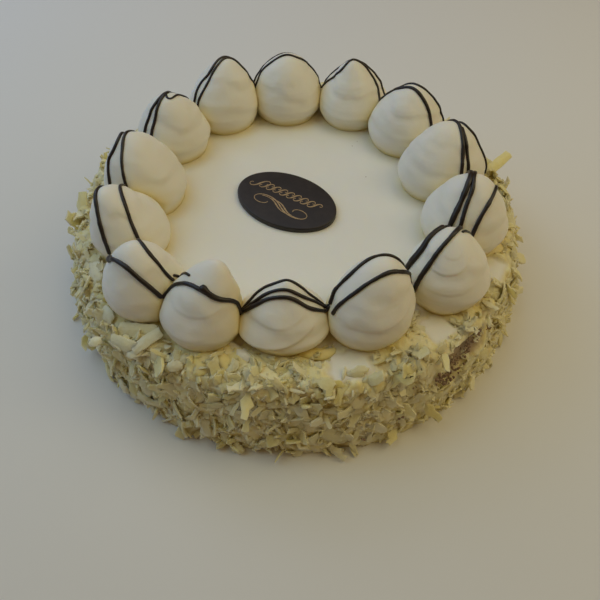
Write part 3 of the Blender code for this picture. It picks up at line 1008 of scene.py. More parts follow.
@dataclass
class Crust:
    """Shavings pressed flat into the cream of the side, one over another, as heights over the outline."""

    outline: CakeOutline
    columns: int = 840
    spacing: float = 0.0008  # between rows up the side
    count: int = 3400
    half_lengths: Range = (0.0024, 0.0062)
    half_widths: Range = (0.0016, 0.0036)
    lifts: Range = (0.0001, 0.0016)  # heights of a shaving's middle
    slopes: Range = (0.04, 0.30)
    crown: float = 0.0005  # how far its middle bulges
    seed: int = 31

    def __post_init__(self) -> None:
        """Lay the shavings, and work out where the coat is bare."""
        length = self.outline.length()
        self.ways = np.linspace(0, length, round(length / self.spacing))
        self.bearings = np.linspace(0, FULL_TURN, self.columns, endpoint=False)
        self.height = np.zeros((len(self.ways), self.columns))
        self.tone = np.full_like(self.height, 0.6)
        draw = np.random.default_rng(self.seed)
        for _ in range(self.count):
            self.lay(draw)
        radius = self.outline.radius_at(self.ways)
        self.shaved = ease((radius - self.outline.inner_radius) / 0.006)[:, None] * np.ones(self.columns)
        turn, way = np.meshgrid(np.degrees(self.bearings), self.ways)
        places = np.stack([turn.ravel() * 0.002, way.ravel(), 0 * way.ravel()], 1)
        edge = bumps(places, 0.004).reshape(turn.shape) * 0.4
        self.sponge = np.zeros_like(self.height)
        for patch in PATCHES:
            depth = ease(patch.depth_in(turn, way) * 2.5 + edge)
            if patch.sponge:
                self.sponge = np.maximum(self.sponge, depth)
            else:
                self.shaved = self.shaved * (1 - depth)
        self.height *= self.shaved * (1 - 0.75 * self.sponge)

    def lay(self, draw: np.random.Generator) -> None:
        """Lay one shaving over the ones that lie there.

        Args:
            draw: Where its sizes come from.
        """
        way, bearing, turn = draw.uniform(-0.002, self.ways[-1]), *draw.uniform(0, FULL_TURN, 2)
        long, wide = draw.uniform(*self.half_lengths), draw.uniform(*self.half_widths)
        lift, slope, tone = draw.uniform(*self.lifts), draw.uniform(*self.slopes), draw.beta(1.6, 1.8)
        jags = draw.uniform(0, FULL_TURN, 3)
        radius, pitch = self.outline.radius_at(way), FULL_TURN / self.columns
        rows = np.nonzero(np.abs(self.ways - way) < long)[0]
        reach = int(long / radius / pitch) + 1
        columns = np.arange(-reach, reach + 1) + round(bearing / pitch)
        up, around = (self.ways[rows] - way)[:, None], (columns * pitch - bearing)[None, :] * radius
        along = (around * math.cos(turn) + up * math.sin(turn)) / long
        across = (up * math.cos(turn) - around * math.sin(turn)) / wide
        angle = np.arctan2(across, along)
        ragged = 1 + 0.12 * np.sin(3 * angle + jags[0]) + 0.10 * np.sin(5 * angle + jags[1])
        ragged += 0.06 * np.sin(9 * angle + jags[2])
        size = (np.abs(along) ** 3 + np.abs(across) ** 2.6) ** (1 / 2.8) / ragged
        plate = (lift + slope * long * along + self.crown * (1 - size**2)) * ease((1 - size) / 0.16)
        window = np.ix_(rows, columns % self.columns)
        higher = (size < 1) & (plate > self.height[window])
        self.height[window] = np.where(higher, plate, self.height[window])
        self.tone[window] = np.where(higher, tone, self.tone[window])

    def height_at(self, bearings: np.ndarray, ways: np.ndarray) -> np.ndarray:
        """Height of the crust over the outline, at bearings in radians and distances up the side."""
        rows = np.clip(np.searchsorted(self.ways, ways), 0, len(self.ways) - 1)
        return self.height[rows, np.round(bearings / FULL_TURN * self.columns).astype(int) % self.columns]


@dataclass
class CakeCoat:
    """The cake's coat: the smooth top, and the crust of the side."""

    outline: CakeOutline
    ring: PeakRing
    crust: Crust
    finish: CoatFinish
    sunk: float = 0.0005  # how far the crust's cream lies inside the outline
    bitten: float = 0.0008  # how much deeper the bare sponge lies
    full: float = 0.0012  # height of the crust from which it has its own colour; lower places get painted shade
    warmest_painted_shade: float = 0.6  # strength of the painted warm shade on the top at the foot of a peak
    painted_shade_reach: float = 0.0032  # how far from the peaks the painted warm shade reaches
    fewer: int = 3  # how many times fewer vertices go round the top than the side
    top_rows: int = 34

    def build(self) -> None:
        """Make the coat."""
        crust, outline = self.crust, self.outline
        turn, way = np.tile(crust.bearings, len(crust.ways)), np.repeat(crust.ways, crust.columns)
        origin, normals = self.skin(turn, way)
        shaved, sponge, height = crust.shaved.ravel(), crust.sponge.ravel(), crust.height.ravel()
        lumps = bumps(origin, 0.012) * 0.0015 + bumps(origin, 0.0035) * 0.0003
        side = origin + normals * (shaved * (height + lumps - self.sunk) - sponge * self.bitten)[:, None]
        side[: crust.columns, 2] = 0.0
        side[:, 2] = np.maximum(side[:, 2], 0.0)
        around = crust.bearings[:: self.fewer]
        inner = np.linspace(outline.inner_radius, 0, self.top_rows)[1:-1]
        radius, spin = np.repeat(inner, len(around)), np.tile(around, len(inner))
        level = np.full_like(radius, outline.top_height)
        disc = np.stack([radius * np.cos(spin), radius * np.sin(spin) + outline.top_shift, level], 1)
        points = np.vstack([side, disc, (0, outline.top_shift, outline.top_height)])
        gentle = bumps(points, 0.030, 2.0) * 0.00025 + bumps(points, 0.008, 5.0) * 0.00005
        points[:, 2] += gentle * ease((points[:, 2] - outline.shoulder_height) / 0.004)
        plain = np.zeros(len(points) - len(turn))
        add_piece(
            "cake_coat",
            points,
            self.faces(len(around), len(points) - 1),
            self.finish.material(),
            Slot.SHAVINGS,
            "cake_body",
            # painted warm shade on the top near the peaks
            hollow=np.array([self.painted_warmth(point) for point in points]),
            side=np.append(shaved, plain),
            sponge=np.append(sponge, plain),
            tone=np.append(crust.tone.ravel(), plain),
            # painted shade where the crust lies low between the shavings
            rise=np.append(ease(height / self.full), plain),
        )

    def faces(self, around: int, last: int) -> Faces:
        """Faces of the coat.

        Args:
            around: Vertices round the top.
            last: Number of the vertex in the middle.

        Returns:
            The faces, facing out.
        """
        columns, rows = self.crust.columns, len(self.crust.ways)
        made = [*grid_faces(rows, columns), tuple(reversed(range(columns)))]
        rim, first, inmost = (rows - 1) * columns, rows * columns, last - around
        for number in range(around):
            start, beside = self.fewer * number, (number + 1) % around
            for step in range(self.fewer):
                made.append((rim + start + step, rim + (start + step + 1) % columns, first + number))
            made.append((first + number, rim + (start + self.fewer) % columns, first + beside))
        made += grid_faces(self.top_rows - 2, around, first)
        return made + [(inmost + number, inmost + (number + 1) % around, last) for number in range(around)]

    def skin(self, turn: np.ndarray, way: np.ndarray) -> tuple[np.ndarray, np.ndarray]:
        """Find places on the outline.

        Args:
            turn: Their bearings, in radians.
            way: Their distances up the side.

        Returns:
            The places, and the smoothed way out of the cake at each.
        """
        shifts = (-3, -1.5, 0, 1.5, 3)
        normals = sum(self.outline.frames(turn, way + shift * MM)[1][:, :, 2] for shift in shifts)
        return self.outline.frames(turn, way)[0], unit(normals)

    def painted_warmth(self, point: np.ndarray) -> float:
        """Painted warm shade on the cream at a place, for being close to a peak."""
        high = point[2] >= self.outline.shoulder_height
        return self.warmest_painted_shade * math.exp(-max(0.0, self.ring.clearance(point)) / self.painted_shade_reach) if high else 0.0


@dataclass
class Batch:
    """Arrays that describe many shavings, with one row for each."""

    length: np.ndarray
    width: np.ndarray
    thickness: np.ndarray
    turn: np.ndarray  # in the surface, in radians
    tilt: np.ndarray  # out of the surface
    roll: np.ndarray  # about its length
    curl: np.ndarray  # from end to end
    cup: np.ndarray  # across it, as a share of the width
    skew: np.ndarray  # how much it slants
    ends: np.ndarray  # widths of the root and the tip, as shares of the width
    bearing: np.ndarray  # in radians
    way: np.ndarray  # up the side
    root: np.ndarray  # how deep its root sits

    def chosen(self, keep: np.ndarray) -> "Batch":
        """The shavings that a mask keeps."""
        return Batch(**{name: value[keep] for name, value in vars(self).items()})


def turned(axis: int, angles: np.ndarray) -> np.ndarray:
    """Rotation matrices about one axis.

    Args:
        axis: 0, 1 or 2 for X, Y or Z.
        angles: Angles, in radians.

    Returns:
        One matrix for each angle.
    """
    first, second = (axis + 1) % 3, (axis + 2) % 3
    made = np.zeros((len(angles), 3, 3))
    made[:, axis, axis] = 1
    made[:, first, first] = made[:, second, second] = np.cos(angles)
    made[:, second, first] = np.sin(angles)
    made[:, first, second] = -np.sin(angles)
    return made


@dataclass(frozen=True)
class ShavingSort:
    """One kind of shaving and how it is strewn. Its ranges go from the least to the greatest."""

    name: str
    rows: int
    places: int  # in a row
    lengths: Range
    widths: Range  # as shares of the length
    thicknesses: Range
    tilts: Range  # in radians, as are the rolls and curls
    roll: float  # the greatest
    curls: Range
    cells: tuple[int, int]  # along and across
    jag: float  # how ragged the edges are, as a share of the width
    seed: int

    def drawn(self, length_of_side: float) -> Batch:
        """Draw the shavings all over the side.

        Args:
            length_of_side: Length of the way up the side.

        Returns:
            The shavings.
        """
        draw = np.random.default_rng(self.seed)
        count = self.rows * self.places
        row = np.repeat(np.arange(self.rows), self.places)
        around = np.tile(np.arange(self.places), self.rows) + 0.5 * (row % 2) + draw.uniform(-0.5, 0.5, count)
        share = (row + 0.5 + draw.uniform(-0.6, 0.6, count)) / self.rows
        length = draw.uniform(*self.lengths, count)
        return Batch(
            length=length,
            width=length * draw.uniform(*self.widths, count),
            thickness=draw.uniform(*self.thicknesses, count),
            turn=draw.uniform(0, FULL_TURN, count),
            tilt=draw.uniform(*self.tilts, count),
            roll=draw.uniform(-self.roll, self.roll, count),
            curl=draw.uniform(*self.curls, count),
            cup=draw.uniform(-0.1, 0.25, count),
            skew=draw.uniform(-0.4, 0.4, count),
            ends=draw.uniform(0.30, 1.0, (count, 2)),
            bearing=FULL_TURN * around / self.places,
            way=length_of_side * np.clip(share, 0, 1),
            root=draw.uniform(0.0002, 0.0012, count),
        )


SORTS = (
    ShavingSort("shards", 17, 82, (0.0048, 0.0112), (0.36, 0.70), (0.0006, 0.0012), (0.06, 0.62), 0.6,
        (-0.6, 1.4), (5, 3), 0.30, 21),
    ShavingSort("splinters", 14, 64, (0.0038, 0.0088), (0.18, 0.34), (0.0006, 0.0011), (0.1, 0.8), 1.0,
        (-0.5, 0.8), (3, 1), 0.16, 22),
    ShavingSort("curls", 7, 26, (0.006, 0.0105), (0.40, 0.70), (0.0006, 0.0010), (0.05, 0.35), 0.5,
        (1.2, 2.8), (8, 3), 0.16, 23),
    ShavingSort("small", 20, 92, (0.0022, 0.0050), (0.5, 0.9), (0.0006, 0.0012), (0.05, 0.8), 0.9,
        (-0.3, 0.8), (2, 2), 0.28, 25),
    ShavingSort("crumbs", 24, 120, (0.0010, 0.0026), (0.6, 0.95), (0.0008, 0.0016), (0.0, 1.0), 1.5,
        (0.0, 0.1), (1, 1), 0.26, 24),
)


@dataclass(frozen=True)
class BigShavings:
    """The large shavings, which stand where the solid has them."""

    rows: int = 8
    in_row: int = 31
    lengths: Range = (0.0095, 0.014)
    widths: Range = (0.007, 0.010)
    narrowed: float = 0.68  # width, as a share of the solid's
    tilts: Range = (0.14, 0.48)
    rim_share: float = 0.70  # size of those on the rim, as a share of those at the foot
    bent_every: int = 7  # of which one is bent twice as much
    thickness: float = 0.0010
    cup: float = 0.12
    root: float = 0.0004
    seed: int = 15

    def drawn(self, length_of_side: float) -> Batch:
        """Draw the shavings in the solid's own order.

        Args:
            length_of_side: Length of the way up the side.

        Returns:
            The shavings.
        """
        draw = random.Random(self.seed)
        rows: list[list[float]] = []
        for row in range(self.rows):
            share = 1 - (1 - self.rim_share) * row / (self.rows - 1)
            for place in range(self.in_row):
                around = place + 0.5 * (row % 2) + draw.uniform(-0.3, 0.3)
                way = length_of_side * (row + 0.5 + draw.uniform(-0.35, 0.35)) / self.rows
                length, width = share * draw.uniform(*self.lengths), share * draw.uniform(*self.widths)
                turn, tilt = draw.uniform(0, FULL_TURN), draw.uniform(*self.tilts)
                curl, skew = draw.uniform(0.06, 0.16), draw.uniform(-0.35, 0.35)
                ends = (draw.uniform(0.4, 1), draw.uniform(0.4, 1))
                bend = 12 * curl if place % self.bent_every == 0 else 6 * curl
                bearing = FULL_TURN * around / self.in_row
                rows.append([length, width * self.narrowed, turn, tilt, bend, skew, *ends, bearing, way])
        table, zero = np.array(rows).T, np.zeros(len(rows))
        length, width, turn, tilt, curl, skew = table[:6]
        return Batch(
            length, width, zero + self.thickness, turn, tilt, zero, curl, zero + self.cup, skew, table[6:8].T,
            bearing=table[8], way=table[9], root=zero + self.root,
        )


def plate_faces(long: int, wide: int) -> np.ndarray:
    """Faces of one closed plate, whose upper face's vertices come before those of its lower.

    Args:
        long: Cells along it.
        wide: Cells across it.

    Returns:
        Its quads.
    """
    number = np.arange((long + 1) * (wide + 1)).reshape(long + 1, wide + 1)
    under = number.size
    faces = []
    for i in range(long):
        for j in range(wide):
            quad = (number[i, j], number[i + 1, j], number[i + 1, j + 1], number[i, j + 1])
            faces += [quad, tuple(under + corner for corner in reversed(quad))]
    rim = [*number[:long, 0], *number[long, :wide], *number[:0:-1, wide], *number[0, :0:-1]]
    faces += [(second, first, under + first, under + second) for first, second in zip(rim, rim[1:] + rim[:1])]
    return np.array(faces)


@dataclass
class ShavingCoat:
    """The coat of shaved white chocolate."""

    outline: CakeOutline
    ring: PeakRing
    crust: Crust
    finish: ShavingFinish
    big: BigShavings = BigShavings()
    big_cells: tuple[int, int] = (7, 3)
    big_jag: float = 0.20
    big_seed: int = 20
    lowest: float = 0.0003  # the lowest place that one reaches
    raised: float = 0.7  # how far the crust lifts them, as a share of its height
    clear: float = 0.0004  # distance that they keep to the peaks
    margin: float = -0.3  # depth in a patch of sponge from which they are taken off
    left_on: int = 6  # of which one stays there

    def bare(self, batch: Batch) -> np.ndarray:
        """Find the shavings that fall in a bare patch.

        Args:
            batch: The shavings.

        Returns:
            Whether each does.
        """
        hit = np.zeros(len(batch.way), bool)
        few = np.arange(len(hit)) % self.left_on == 0
        for patch in PATCHES:
            depth = patch.depth_in(np.degrees(batch.bearing), batch.way)
            hit |= (depth > (self.margin if patch.sponge else 0)) & ~(few & patch.sponge)
        return hit

    def placed(self, batch: Batch, cells: tuple[int, int], jag: float, seed: int) -> np.ndarray:
        """Vertices of every shaving of a batch.

        Args:
            batch: The shavings.
            cells: Cells along and across.
            jag: How ragged the edges are.
            seed: Seed of the ragged edges.

        Returns:
            An array of shavings, vertices and coordinates, the upper face first.
        """
        draw = np.random.default_rng(seed)
        along, across = np.linspace(0, 1, cells[0] + 1), np.linspace(-0.5, 0.5, cells[1] + 1)
        s, t = (part.ravel()[None, :] for part in np.meshgrid(along, across, indexing="ij"))
        size = (len(batch.length), s.shape[1])
        s = s + draw.uniform(-jag, jag, size) * 0.5 / cells[0]
        start, end = batch.ends[:, :1], batch.ends[:, 1:]
        wide = start + (end - start) * s
        wide = wide + (1 - np.maximum(start, end)) * np.sin(math.pi * np.clip(s, 0, 1))
        y = batch.width[:, None] * (t * wide + draw.uniform(-jag, jag, size) * 0.8)
        curl = np.where(np.abs(batch.curl) < 0.05, 0.05, batch.curl)[:, None]
        x = batch.length[:, None] * np.sin(curl * s) / curl + batch.skew[:, None] * y
        z = batch.length[:, None] * (np.cos(curl * s) - 1) / curl
        z = z - batch.cup[:, None] * batch.width[:, None] * (2 * t) ** 2
        thick = batch.thickness[:, None] * (0.35 + 0.65 * np.sin(math.pi * np.clip(0.12 + 0.76 * s, 0, 1)))
        off_x, off_z = np.sin(curl * s) * thick / 2, np.cos(curl * s) * thick / 2
        upper, lower = np.stack([x + off_x, y, z + off_z], 2), np.stack([x - off_x, y, z - off_z], 2)
        local = np.concatenate([upper, lower], 1)
        local[:, :, 0] -= (batch.root / np.sin(np.maximum(batch.tilt, 0.15)))[:, None]
        local[:, :, 2] += draw.uniform(-0.3, 0.3, local.shape[:2]) * jag * batch.thickness[:, None]
        spin = turned(2, batch.turn) @ turned(1, -batch.tilt) @ turned(0, batch.roll)
        origin, axes = self.outline.frames(batch.bearing, batch.way)
        lift = self.raised * self.crust.height_at(batch.bearing, batch.way)
        origin = origin + axes[:, :, 2] * lift[:, None]
        world = np.einsum("nij,nvj->nvi", axes @ spin, local) + origin[:, None, :]
        world[:, :, 2] -= np.minimum(world[:, :, 2].min(axis=1) - self.lowest, 0)[:, None]
        return world

    def add(self, name: str, batch: Batch, cells: tuple[int, int], jag: float, seed: int) -> None:
        """Make one piece of many shavings.

        Args:
            name: The piece's name.
            batch: The shavings.
            cells: Cells along and across.
            jag: How ragged the edges are.
            seed: Seed of the ragged edges and tones.
        """
        world = self.placed(batch.chosen(~self.bare(batch)), cells, jag, seed)
        each, face = world.shape[1], world.shape[1] // 2
        tries = sorted({0, cells[1], face - 1 - cells[1], face - 1, face // 2})
        clear = [all(self.ring.clearance(shaving[k]) > self.clear for k in tries) for shaving in world]
        world = world[np.array(clear)]
        own = np.random.default_rng(seed + 100).beta(1.6, 1.8, len(world))
        tone = np.clip(0.6 * own + 0.22 + 0.50 * bumps(world.mean(axis=1), 0.011, 4.0), 0, 1)
        faces = (plate_faces(*cells)[None] + (np.arange(len(world)) * each)[:, None, None]).reshape(-1, 4)
        points, tones = world.reshape(-1, 3), np.repeat(tone, each)
        add_piece(name, points, faces.tolist(), self.material, Slot.SHAVINGS, sharp=38.0, tone=tones)

    def build(self) -> None:
        """Make all the shavings."""
        self.material = self.finish.material()
        length = self.outline.length()
        big_length = length - (self.outline.rim_radius - self.outline.inner_radius)
        self.add("shavings_large", self.big.drawn(big_length), self.big_cells, self.big_jag, self.big_seed)
        for sort in SORTS:
            self.add(f"shavings_{sort.name}", sort.drawn(length), sort.cells, sort.jag, sort.seed)


@dataclass(frozen=True)
class PlacedShaving:
    """One shaving that stands out from the rest. Its sizes are in millimetres, its angles in degrees."""

    root: Place  # bearing, distance from the axis and height
    tip: Place
    width: float
    arch: float = 0.6  # how far its middle stands off the line between its ends
    roll: float = 0.0  # about that line
    tone: float = 0.3  # 0 for pale, 1 for buttery
    point: float = 0.45  # width of its ends, as a share of its width


PLACED = (
    PlacedShaving((-131.1, 110.3, 43.0), (-123.1, 102.2, 45.2), 6.0, 0.5, 8, 0.30, 0.85),
    PlacedShaving((-130.9, 114.9, 41.0), (-124.5, 112.3, 43.2), 5.6, 0.6, 22, 0.25, 0.8),
    PlacedShaving((-124.6, 113.6, 43.0), (-122.0, 101.4, 46.2), 5.0, 0.4, 0, 0.10, 0.8),
    PlacedShaving((-168.9, 106.8, 38.5), (-176.6, 106.0, 48.0), 5.6, 0.3, 5, 0.75, 0.9),
    PlacedShaving((9.6, 100.5, 44.0), (14.4, 116.5, 47.2), 5.4, 0.3, 0, 0.80, 0.9),
    PlacedShaving((-78.2, 105.1, 41.6), (-73.3, 104.8, 44.0), 4.4, 0.6, 20, 0.15, 0.15),
    PlacedShaving((-79.6, 107.3, 40.6), (-78.1, 102.0, 43.8), 1.9, 0.4, 60, 0.05, 0.4),
    PlacedShaving((-90.6, 107.6, 39.2), (-87.4, 108.6, 39.2), 3.6, 0.5, -20, 0.0, 0.2),
    PlacedShaving((-138.5, 108.7, 42.6), (-133.8, 109.9, 42.8), 5.0, 0.6, 10, 0.10),
    PlacedShaving((-134.7, 122.0, 36.5), (-133.1, 117.5, 38.6), 4.2, 0.6, 0, 0.10),
    PlacedShaving((-153.7, 104.0, 42.6), (-145.6, 104.5, 43.4), 7.6, 0.8, 0, 0.05),
    PlacedShaving((-116.7, 112.0, 41.2), (-113.5, 108.6, 42.9), 4.6, 0.7, 15, 0.05, 0.2),
    PlacedShaving((-125.7, 115.6, 40.2), (-123.3, 110.7, 42.4), 5.0, 0.7, -10, 0.15),
    PlacedShaving((-109.2, 104.6, 42.4), (-108.6, 109.6, 38.4), 6.0, 0.5, 0, 0.60, 0.7),
    PlacedShaving((-98.4, 101.6, 42.4), (-96.8, 105.8, 40.6), 5.4, 0.8, -15, 0.10, 0.3),
    PlacedShaving((-91.8, 112.4, 25.5), (-88.6, 117.2, 15.5), 7.0, 0.9, 0, 0.55),
    PlacedShaving((-85.7, 115.6, 18.0), (-79.2, 118.6, 10.5), 9.0, 0.8, 0, 0.50, 0.6),
    PlacedShaving((-77.1, 108.6, 38.0), (-73.9, 112.2, 31.0), 5.6, 0.7, 0, 0.40),
    PlacedShaving((-102.4, 119.8, 5.0), (-100.5, 122.0, 1.4), 6.0, 0.4, 0, 0.45, 0.7),
    PlacedShaving((-132.0, 119.8, 8.4), (-128.8, 120.8, 5.2), 6.0, 0.6, 0, 0.05),
)


@dataclass
class RimShavings:
    """The shavings that stand out on the rim and the side, each in its own place."""

    finish: ShavingFinish
    cells: tuple[int, int] = (9, 4)
    thickness: float = 0.0012
    jag: float = 0.22
    cup: float = 0.10  # how far their edges bend down, as a share of the width
    lowest: float = 0.0003
    rim_height: float = 0.036  # from which they face up as well as out
    seed: int = 41

    def plate(self, shaving: PlacedShaving, jags: np.ndarray) -> np.ndarray:
        """Vertices of one shaving, the upper face first.

        Args:
            shaving: The shaving.
            jags: A random number from -1 to 1 for each vertex of a face.

        Returns:
            Its vertices.
        """
        root, tip = round_place(*shaving.root), round_place(*shaving.tip)
        forward, middle = (tip - root) / np.linalg.norm(tip - root), (root + tip) / 2
        outward = np.array((middle[0], middle[1], 0)) / math.hypot(middle[0], middle[1])
        facing = outward + np.array(UP) * (2.0 if middle[2] > self.rim_height else 0.15)
        normal = Vector(facing - forward * facing.dot(forward)).normalized()
        normal = np.array(Matrix.Rotation(math.radians(shaving.roll), 3, forward) @ normal)
        along, across = np.linspace(0, 1, self.cells[0] + 1), np.linspace(-1, 1, self.cells[1] + 1)
        s, t = (part.ravel()[:, None] for part in np.meshgrid(along, across, indexing="ij"))
        jags, blunt = jags[:, None], 1 - shaving.point
        taper = shaving.point + blunt * np.sin(math.pi * s) ** 0.6
        half = shaving.width * MM / 2 * taper * (1 + self.jag * (1.15 - shaving.point) * jags)
        sag = self.cup * shaving.width * MM * t * t - shaving.arch * MM * 4 * s * (1 - s)
        centre = root + (tip - root) * (s + 0.06 * (1.1 - shaving.point) * jags)
        centre = centre + np.cross(normal, forward) * half * t - normal * sag
        thick = self.thickness * (1 - 0.3 * t * t) * (0.7 + 0.3 * np.sin(math.pi * s))
        plate = np.concatenate([centre + normal * thick / 2, centre - normal * thick / 2])
        plate[:, 2] = np.maximum(plate[:, 2], self.lowest)
        return plate

    def build(self) -> None:
        """Make them all as one piece."""
        draw, each = np.random.default_rng(self.seed), (self.cells[0] + 1) * (self.cells[1] + 1)
        plates = [self.plate(shaving, draw.uniform(-1, 1, each)) for shaving in PLACED]
        plate = plate_faces(*self.cells)
        faces = np.concatenate([plate + number * 2 * each for number in range(len(plates))])
        tones = np.repeat([shaving.tone for shaving in PLACED], 2 * each)
        points, material = np.concatenate(plates), self.finish.material()
        add_piece("shavings_rim", points, faces.tolist(), material, Slot.SHAVINGS, sharp=50.0, tone=tones)


@dataclass(frozen=True)
class Smear:
    """A ridge of cream that was wiped over the rim. Its sizes are in millimetres."""

    name: str
    width: float
    height: float
    yellow: float  # how much painted warm shade it gets, from 0 to 1
    route: tuple[Place, ...]  # bearing in degrees, distance from the axis and height


SMEARS = (
    Smear("left", 5.0, 3.2, 1.0, ((-109.5, 93, 42.6), (-107, 98.6, 43), (-104.6, 102.9, 42.2),
        (-102.6, 106.3, 40), (-100.8, 109, 36.6))),
    Smear("pale", 5.2, 3.4, 0.1, ((-107, 92, 42.6), (-102.9, 96, 43), (-100, 98, 42.6),
        (-97.4, 100, 41.8))),
    Smear("front", 5.6, 2.8, 1.0, ((-90, 91, 42), (-86, 93.4, 42.4), (-82, 94.2, 42.4),
        (-79, 92.4, 42.2))),
    Smear("right", 6.6, 3.6, 0.9, ((-25, 94.5, 42.4), (-19.5, 100.8, 42.4), (-14.6, 106, 40.8))),
)


@dataclass
class RimSmears:
    """The ridges of cream on the rim."""

    finish: CreamFinish
    sides: int = 20

    def build(self) -> None:
        """Make every ridge."""
        material = self.finish.material()
        for number, smear in enumerate(SMEARS):
            line = curve_through(np.array([round_place(*place) for place in smear.route]))
            forward = unit(np.gradient(line, axis=0))
            across = unit(np.cross(forward, np.array(UP)))
            share = np.linspace(0, 1, len(line))
            swell = (0.12 + 0.88 * np.sin(math.pi * share) ** 0.55) * (1 + 0.2 * bumps(line, 0.005, number))
            wide, high = swell * smear.width * MM / 2, swell * smear.height * MM / 2
            verts, faces = tube(line, across, np.cross(across, forward), wide, high, self.sides)
            verts = verts + np.outer(bumps(verts, 0.0028, 7.0 + number) * 0.0005, UP)
            # painted warm shade, stored on the mesh for the cream's material
            yellow = np.full(len(verts), smear.yellow)
            add_piece(f"smear_{smear.name}", verts, faces, material, Slot.CREAM, hollow=yellow)


@dataclass(frozen=True)
class CrumbSpot:
    """A spot with crumbs of sponge. Its sizes are in millimetres, its bearing in degrees."""

    bearing: float
    way: float  # up the side
    spread: Range  # half its size round the cake and up it
    count: int
    size: float  # the crumbs' middling radius


CRUMB_SPOTS = (
    CrumbSpot(-54.5, 28.5, (7.0, 3.4), 40, 0.62),
    CrumbSpot(-45.0, 36.0, (8.0, 3.4), 46, 0.62),
    CrumbSpot(-49.5, 32.5, (8.0, 4.4), 36, 0.50),
    CrumbSpot(-70.5, 11.5, (1.2, 0.6), 5, 0.60),
    CrumbSpot(-66.5, 16.0, (1.4, 0.5), 4, 0.55),
    CrumbSpot(-62.5, 33.0, (2.5, 1.5), 4, 0.40),
    CrumbSpot(-75.0, 8.5, (1.0, 0.5), 3, 0.55),
)
TOP_SPECKS = ((22.0, 39.0, 42.0), (53.0, 55.0, 42.0), (53.0, 50.0, 42.0))


@dataclass
class SpongeCrumbs:
    """Brown crumbs of sponge that show where the coat is thin, and three specks on the top."""

    outline: CakeOutline
    crust: Crust
    finish: SpongeFinish
    speck_radius: float = 0.00028
    proud: float = 0.0010  # how far the crumbs stand out of the shavings that are pressed in
    seed: int = 51

    def build(self) -> None:
        """Make all the crumbs as one piece."""
        draw = np.random.default_rng(self.seed)
        ball = bmesh.new()
        bmesh.ops.create_icosphere(ball, subdivisions=1, radius=1.0)
        lump = np.array([vert.co for vert in ball.verts])
        sides = np.array([[vert.index for vert in face.verts] for face in ball.faces])
        ball.free()
        lumps = []
        for spot in CRUMB_SPOTS:
            arc = draw.normal(0, 0.55, spot.count) * spot.spread[0] * MM
            ways = spot.way * MM + draw.normal(0, 0.55, spot.count) * spot.spread[1] * MM
            bearings = math.radians(spot.bearing) + arc / self.outline.shoulder_radius
            origin, axes = self.outline.frames(bearings, ways)
            lift = self.crust.height_at(bearings, ways) + self.proud
            for place, axis, height in zip(origin, axes, lift):
                radius = spot.size * MM * draw.uniform(0.6, 1.5)
                lumps.append(self.rough(lump, radius, draw) + (place + axis[:, 2] * height))
        lumps += [self.rough(lump, self.speck_radius, draw) + round_place(*speck) for speck in TOP_SPECKS]
        faces = np.concatenate([sides + number * len(lump) for number in range(len(lumps))])
        add_piece("sponge_crumbs", np.concatenate(lumps), faces.tolist(), self.finish.material(), sharp=30.0)

    @staticmethod
    def rough(lump: np.ndarray, radius: float, draw: np.random.Generator) -> np.ndarray:
        """A ball of radius 1 made rough, and scaled to a radius."""
        return lump * radius * draw.uniform(0.65, 1.35, (len(lump), 1)) * draw.uniform(0.7, 1.3, 3)


@dataclass(frozen=True)
class Pen:
    """How wide the lines of an ornament are."""

    ends: float  # width of a line's ends
    swell: float  # how much wider its middle is
    pinch: float  # how soon it grows narrow

    def widths(self, count: int) -> np.ndarray:
        """Widths at this many even steps along a line."""
        return self.ends + self.swell * np.clip(1 - np.abs(np.linspace(-1, 1, count)) * self.pinch, 0, 1)


